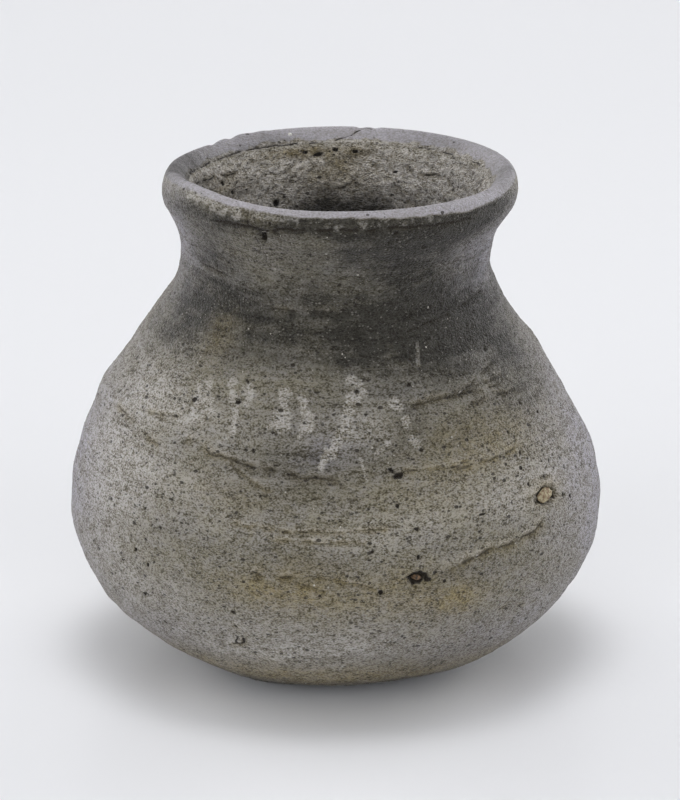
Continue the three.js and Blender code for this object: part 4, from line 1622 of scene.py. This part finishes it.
class POT_OT_stones(bpy.types.Operator):
    """Builds the three coarse mineral grains that lie in pits of the clay"""

    bl_idname = "pot.stones"
    bl_label = "Coarse grains"

    def execute(self, context):
        shared_groups()
        colours = context.scene.clay_colours
        axis = pot_axis()
        profile = outside_profile(context.scene.pot_shape)
        looks = {
            "stone_yellow": (colours.brown_stone, colours.yellow_stone, 0.6, 0.6 * MM),
            "stone_brown": (colours.brown_stone, colours.dark_sand, 0.65, 0.7 * MM),
            "stone_quartz": (colours.quartz, WHITE_QUARTZ, 0.3, 0.5 * MM),
        }
        for node, (slot, size, seed) in STONES.items():
            low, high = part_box(node)
            middle = (low + high) / 2
            mesh = stone_mesh(node, size, stone_basis(node, profile, axis), middle, seed)
            piece = coated_piece(node + "_stone", mesh, stone_material(slot, *looks[slot]))
            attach(piece, BODY)
            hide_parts(node)
        return {"FINISHED"}


def aim(thing, angle, elevation):
    """Points a lamp or a camera back from a direction, in degrees round from +X and up, and returns it."""
    turn = math.radians(angle)
    up = math.radians(elevation)
    towards = Vector((math.cos(turn) * math.cos(up), math.sin(turn) * math.cos(up), math.sin(up)))
    thing.rotation_mode = "QUATERNION"
    thing.rotation_quaternion = towards.to_track_quat("Z", "Y")
    return towards


class POT_OT_stage(bpy.types.Operator):
    """Sets up the pale floor, the soft light all round and the camera"""

    bl_idname = "pot.stage"
    bl_label = "Stage"

    def execute(self, context):
        scene = context.scene
        stage = scene.pot_stage
        self.add_floor(stage)
        self.add_light(scene, stage)
        self.add_camera(scene, stage)
        scene.view_settings.view_transform = "Standard"
        return {"FINISHED"}

    def add_floor(self, stage):
        half = stage.floor_width / 2
        corners = [(-half, -half, 0), (half, -half, 0), (half, half, 0), (-half, half, 0)]
        mesh = bpy.data.meshes.new("floor")
        mesh.from_pydata(corners, [], [(0, 1, 2, 3)])
        floor = coated_piece("floor", mesh, floor_material(stage.floor))

    def add_light(self, scene, stage):
        world = bpy.data.worlds.new("soft light all round")
        world.use_nodes = True
        background = world.node_tree.nodes["Background"]
        background.inputs["Color"].default_value = SKY_COLOUR
        background.inputs["Strength"].default_value = stage.sky
        scene.world = world
        for name, (angle, elevation, strength, across) in SOFT_LIGHTS.items():
            data = bpy.data.lights.new(name, "SUN")
            data.energy = strength
            data.angle = math.radians(across)
            aim(add_object(name, data), angle, elevation)

    def add_camera(self, scene, stage):
        data = bpy.data.cameras.new("camera")
        data.lens = stage.camera_lens
        camera = add_object("camera", data)
        back = aim(camera, FRONT, stage.camera_elevation)
        target = Vector((stage.target_across, 0, stage.target_height))
        camera.location = target + back * stage.camera_distance
        scene.camera = camera


class POT_PT_panel(bpy.types.Panel):
    """Lists the steps that build the pot"""

    bl_idname = "POT_PT_panel"
    bl_label = "Earthenware pot"
    bl_space_type = "VIEW_3D"
    bl_region_type = "UI"
    bl_category = "Pot"

    def draw(self, context):
        for step in OPERATORS:
            self.layout.operator(step.bl_idname)
        for group in PROPERTY_GROUPS:
            settings = getattr(context.scene, group)
            box = self.layout.box()
            for name in settings.bl_rna.properties.keys():
                if name not in ("rna_type", "name"):
                    box.prop(settings, name)


OPERATORS = (POT_OT_clay_sections, POT_OT_stones, POT_OT_stage)
PROPERTY_GROUPS = {
    "pot_shape": PotShape,
    "pot_lean": PotLean,
    "clay_relief": ClayRelief,
    "clay_colours": ClayColours,
    "temper_sand": TemperSand,
    "pot_stage": PotStage,
}


def register():
    for group in PROPERTY_GROUPS.values():
        bpy.utils.register_class(group)
    for step in (*OPERATORS, POT_PT_panel):
        bpy.utils.register_class(step)
    for name, group in PROPERTY_GROUPS.items():
        setattr(bpy.types.Scene, name, PointerProperty(type=group))


def unregister():
    for name in PROPERTY_GROUPS:
        delattr(bpy.types.Scene, name)
    for step in reversed((*OPERATORS, POT_PT_panel)):
        bpy.utils.unregister_class(step)
    for group in reversed(PROPERTY_GROUPS.values()):
        bpy.utils.unregister_class(group)


def main():
    register()
    bpy.ops.pot.clay_sections()
    bpy.ops.pot.stones()
    bpy.ops.pot.stage()


if __name__ == "__main__":
    main()
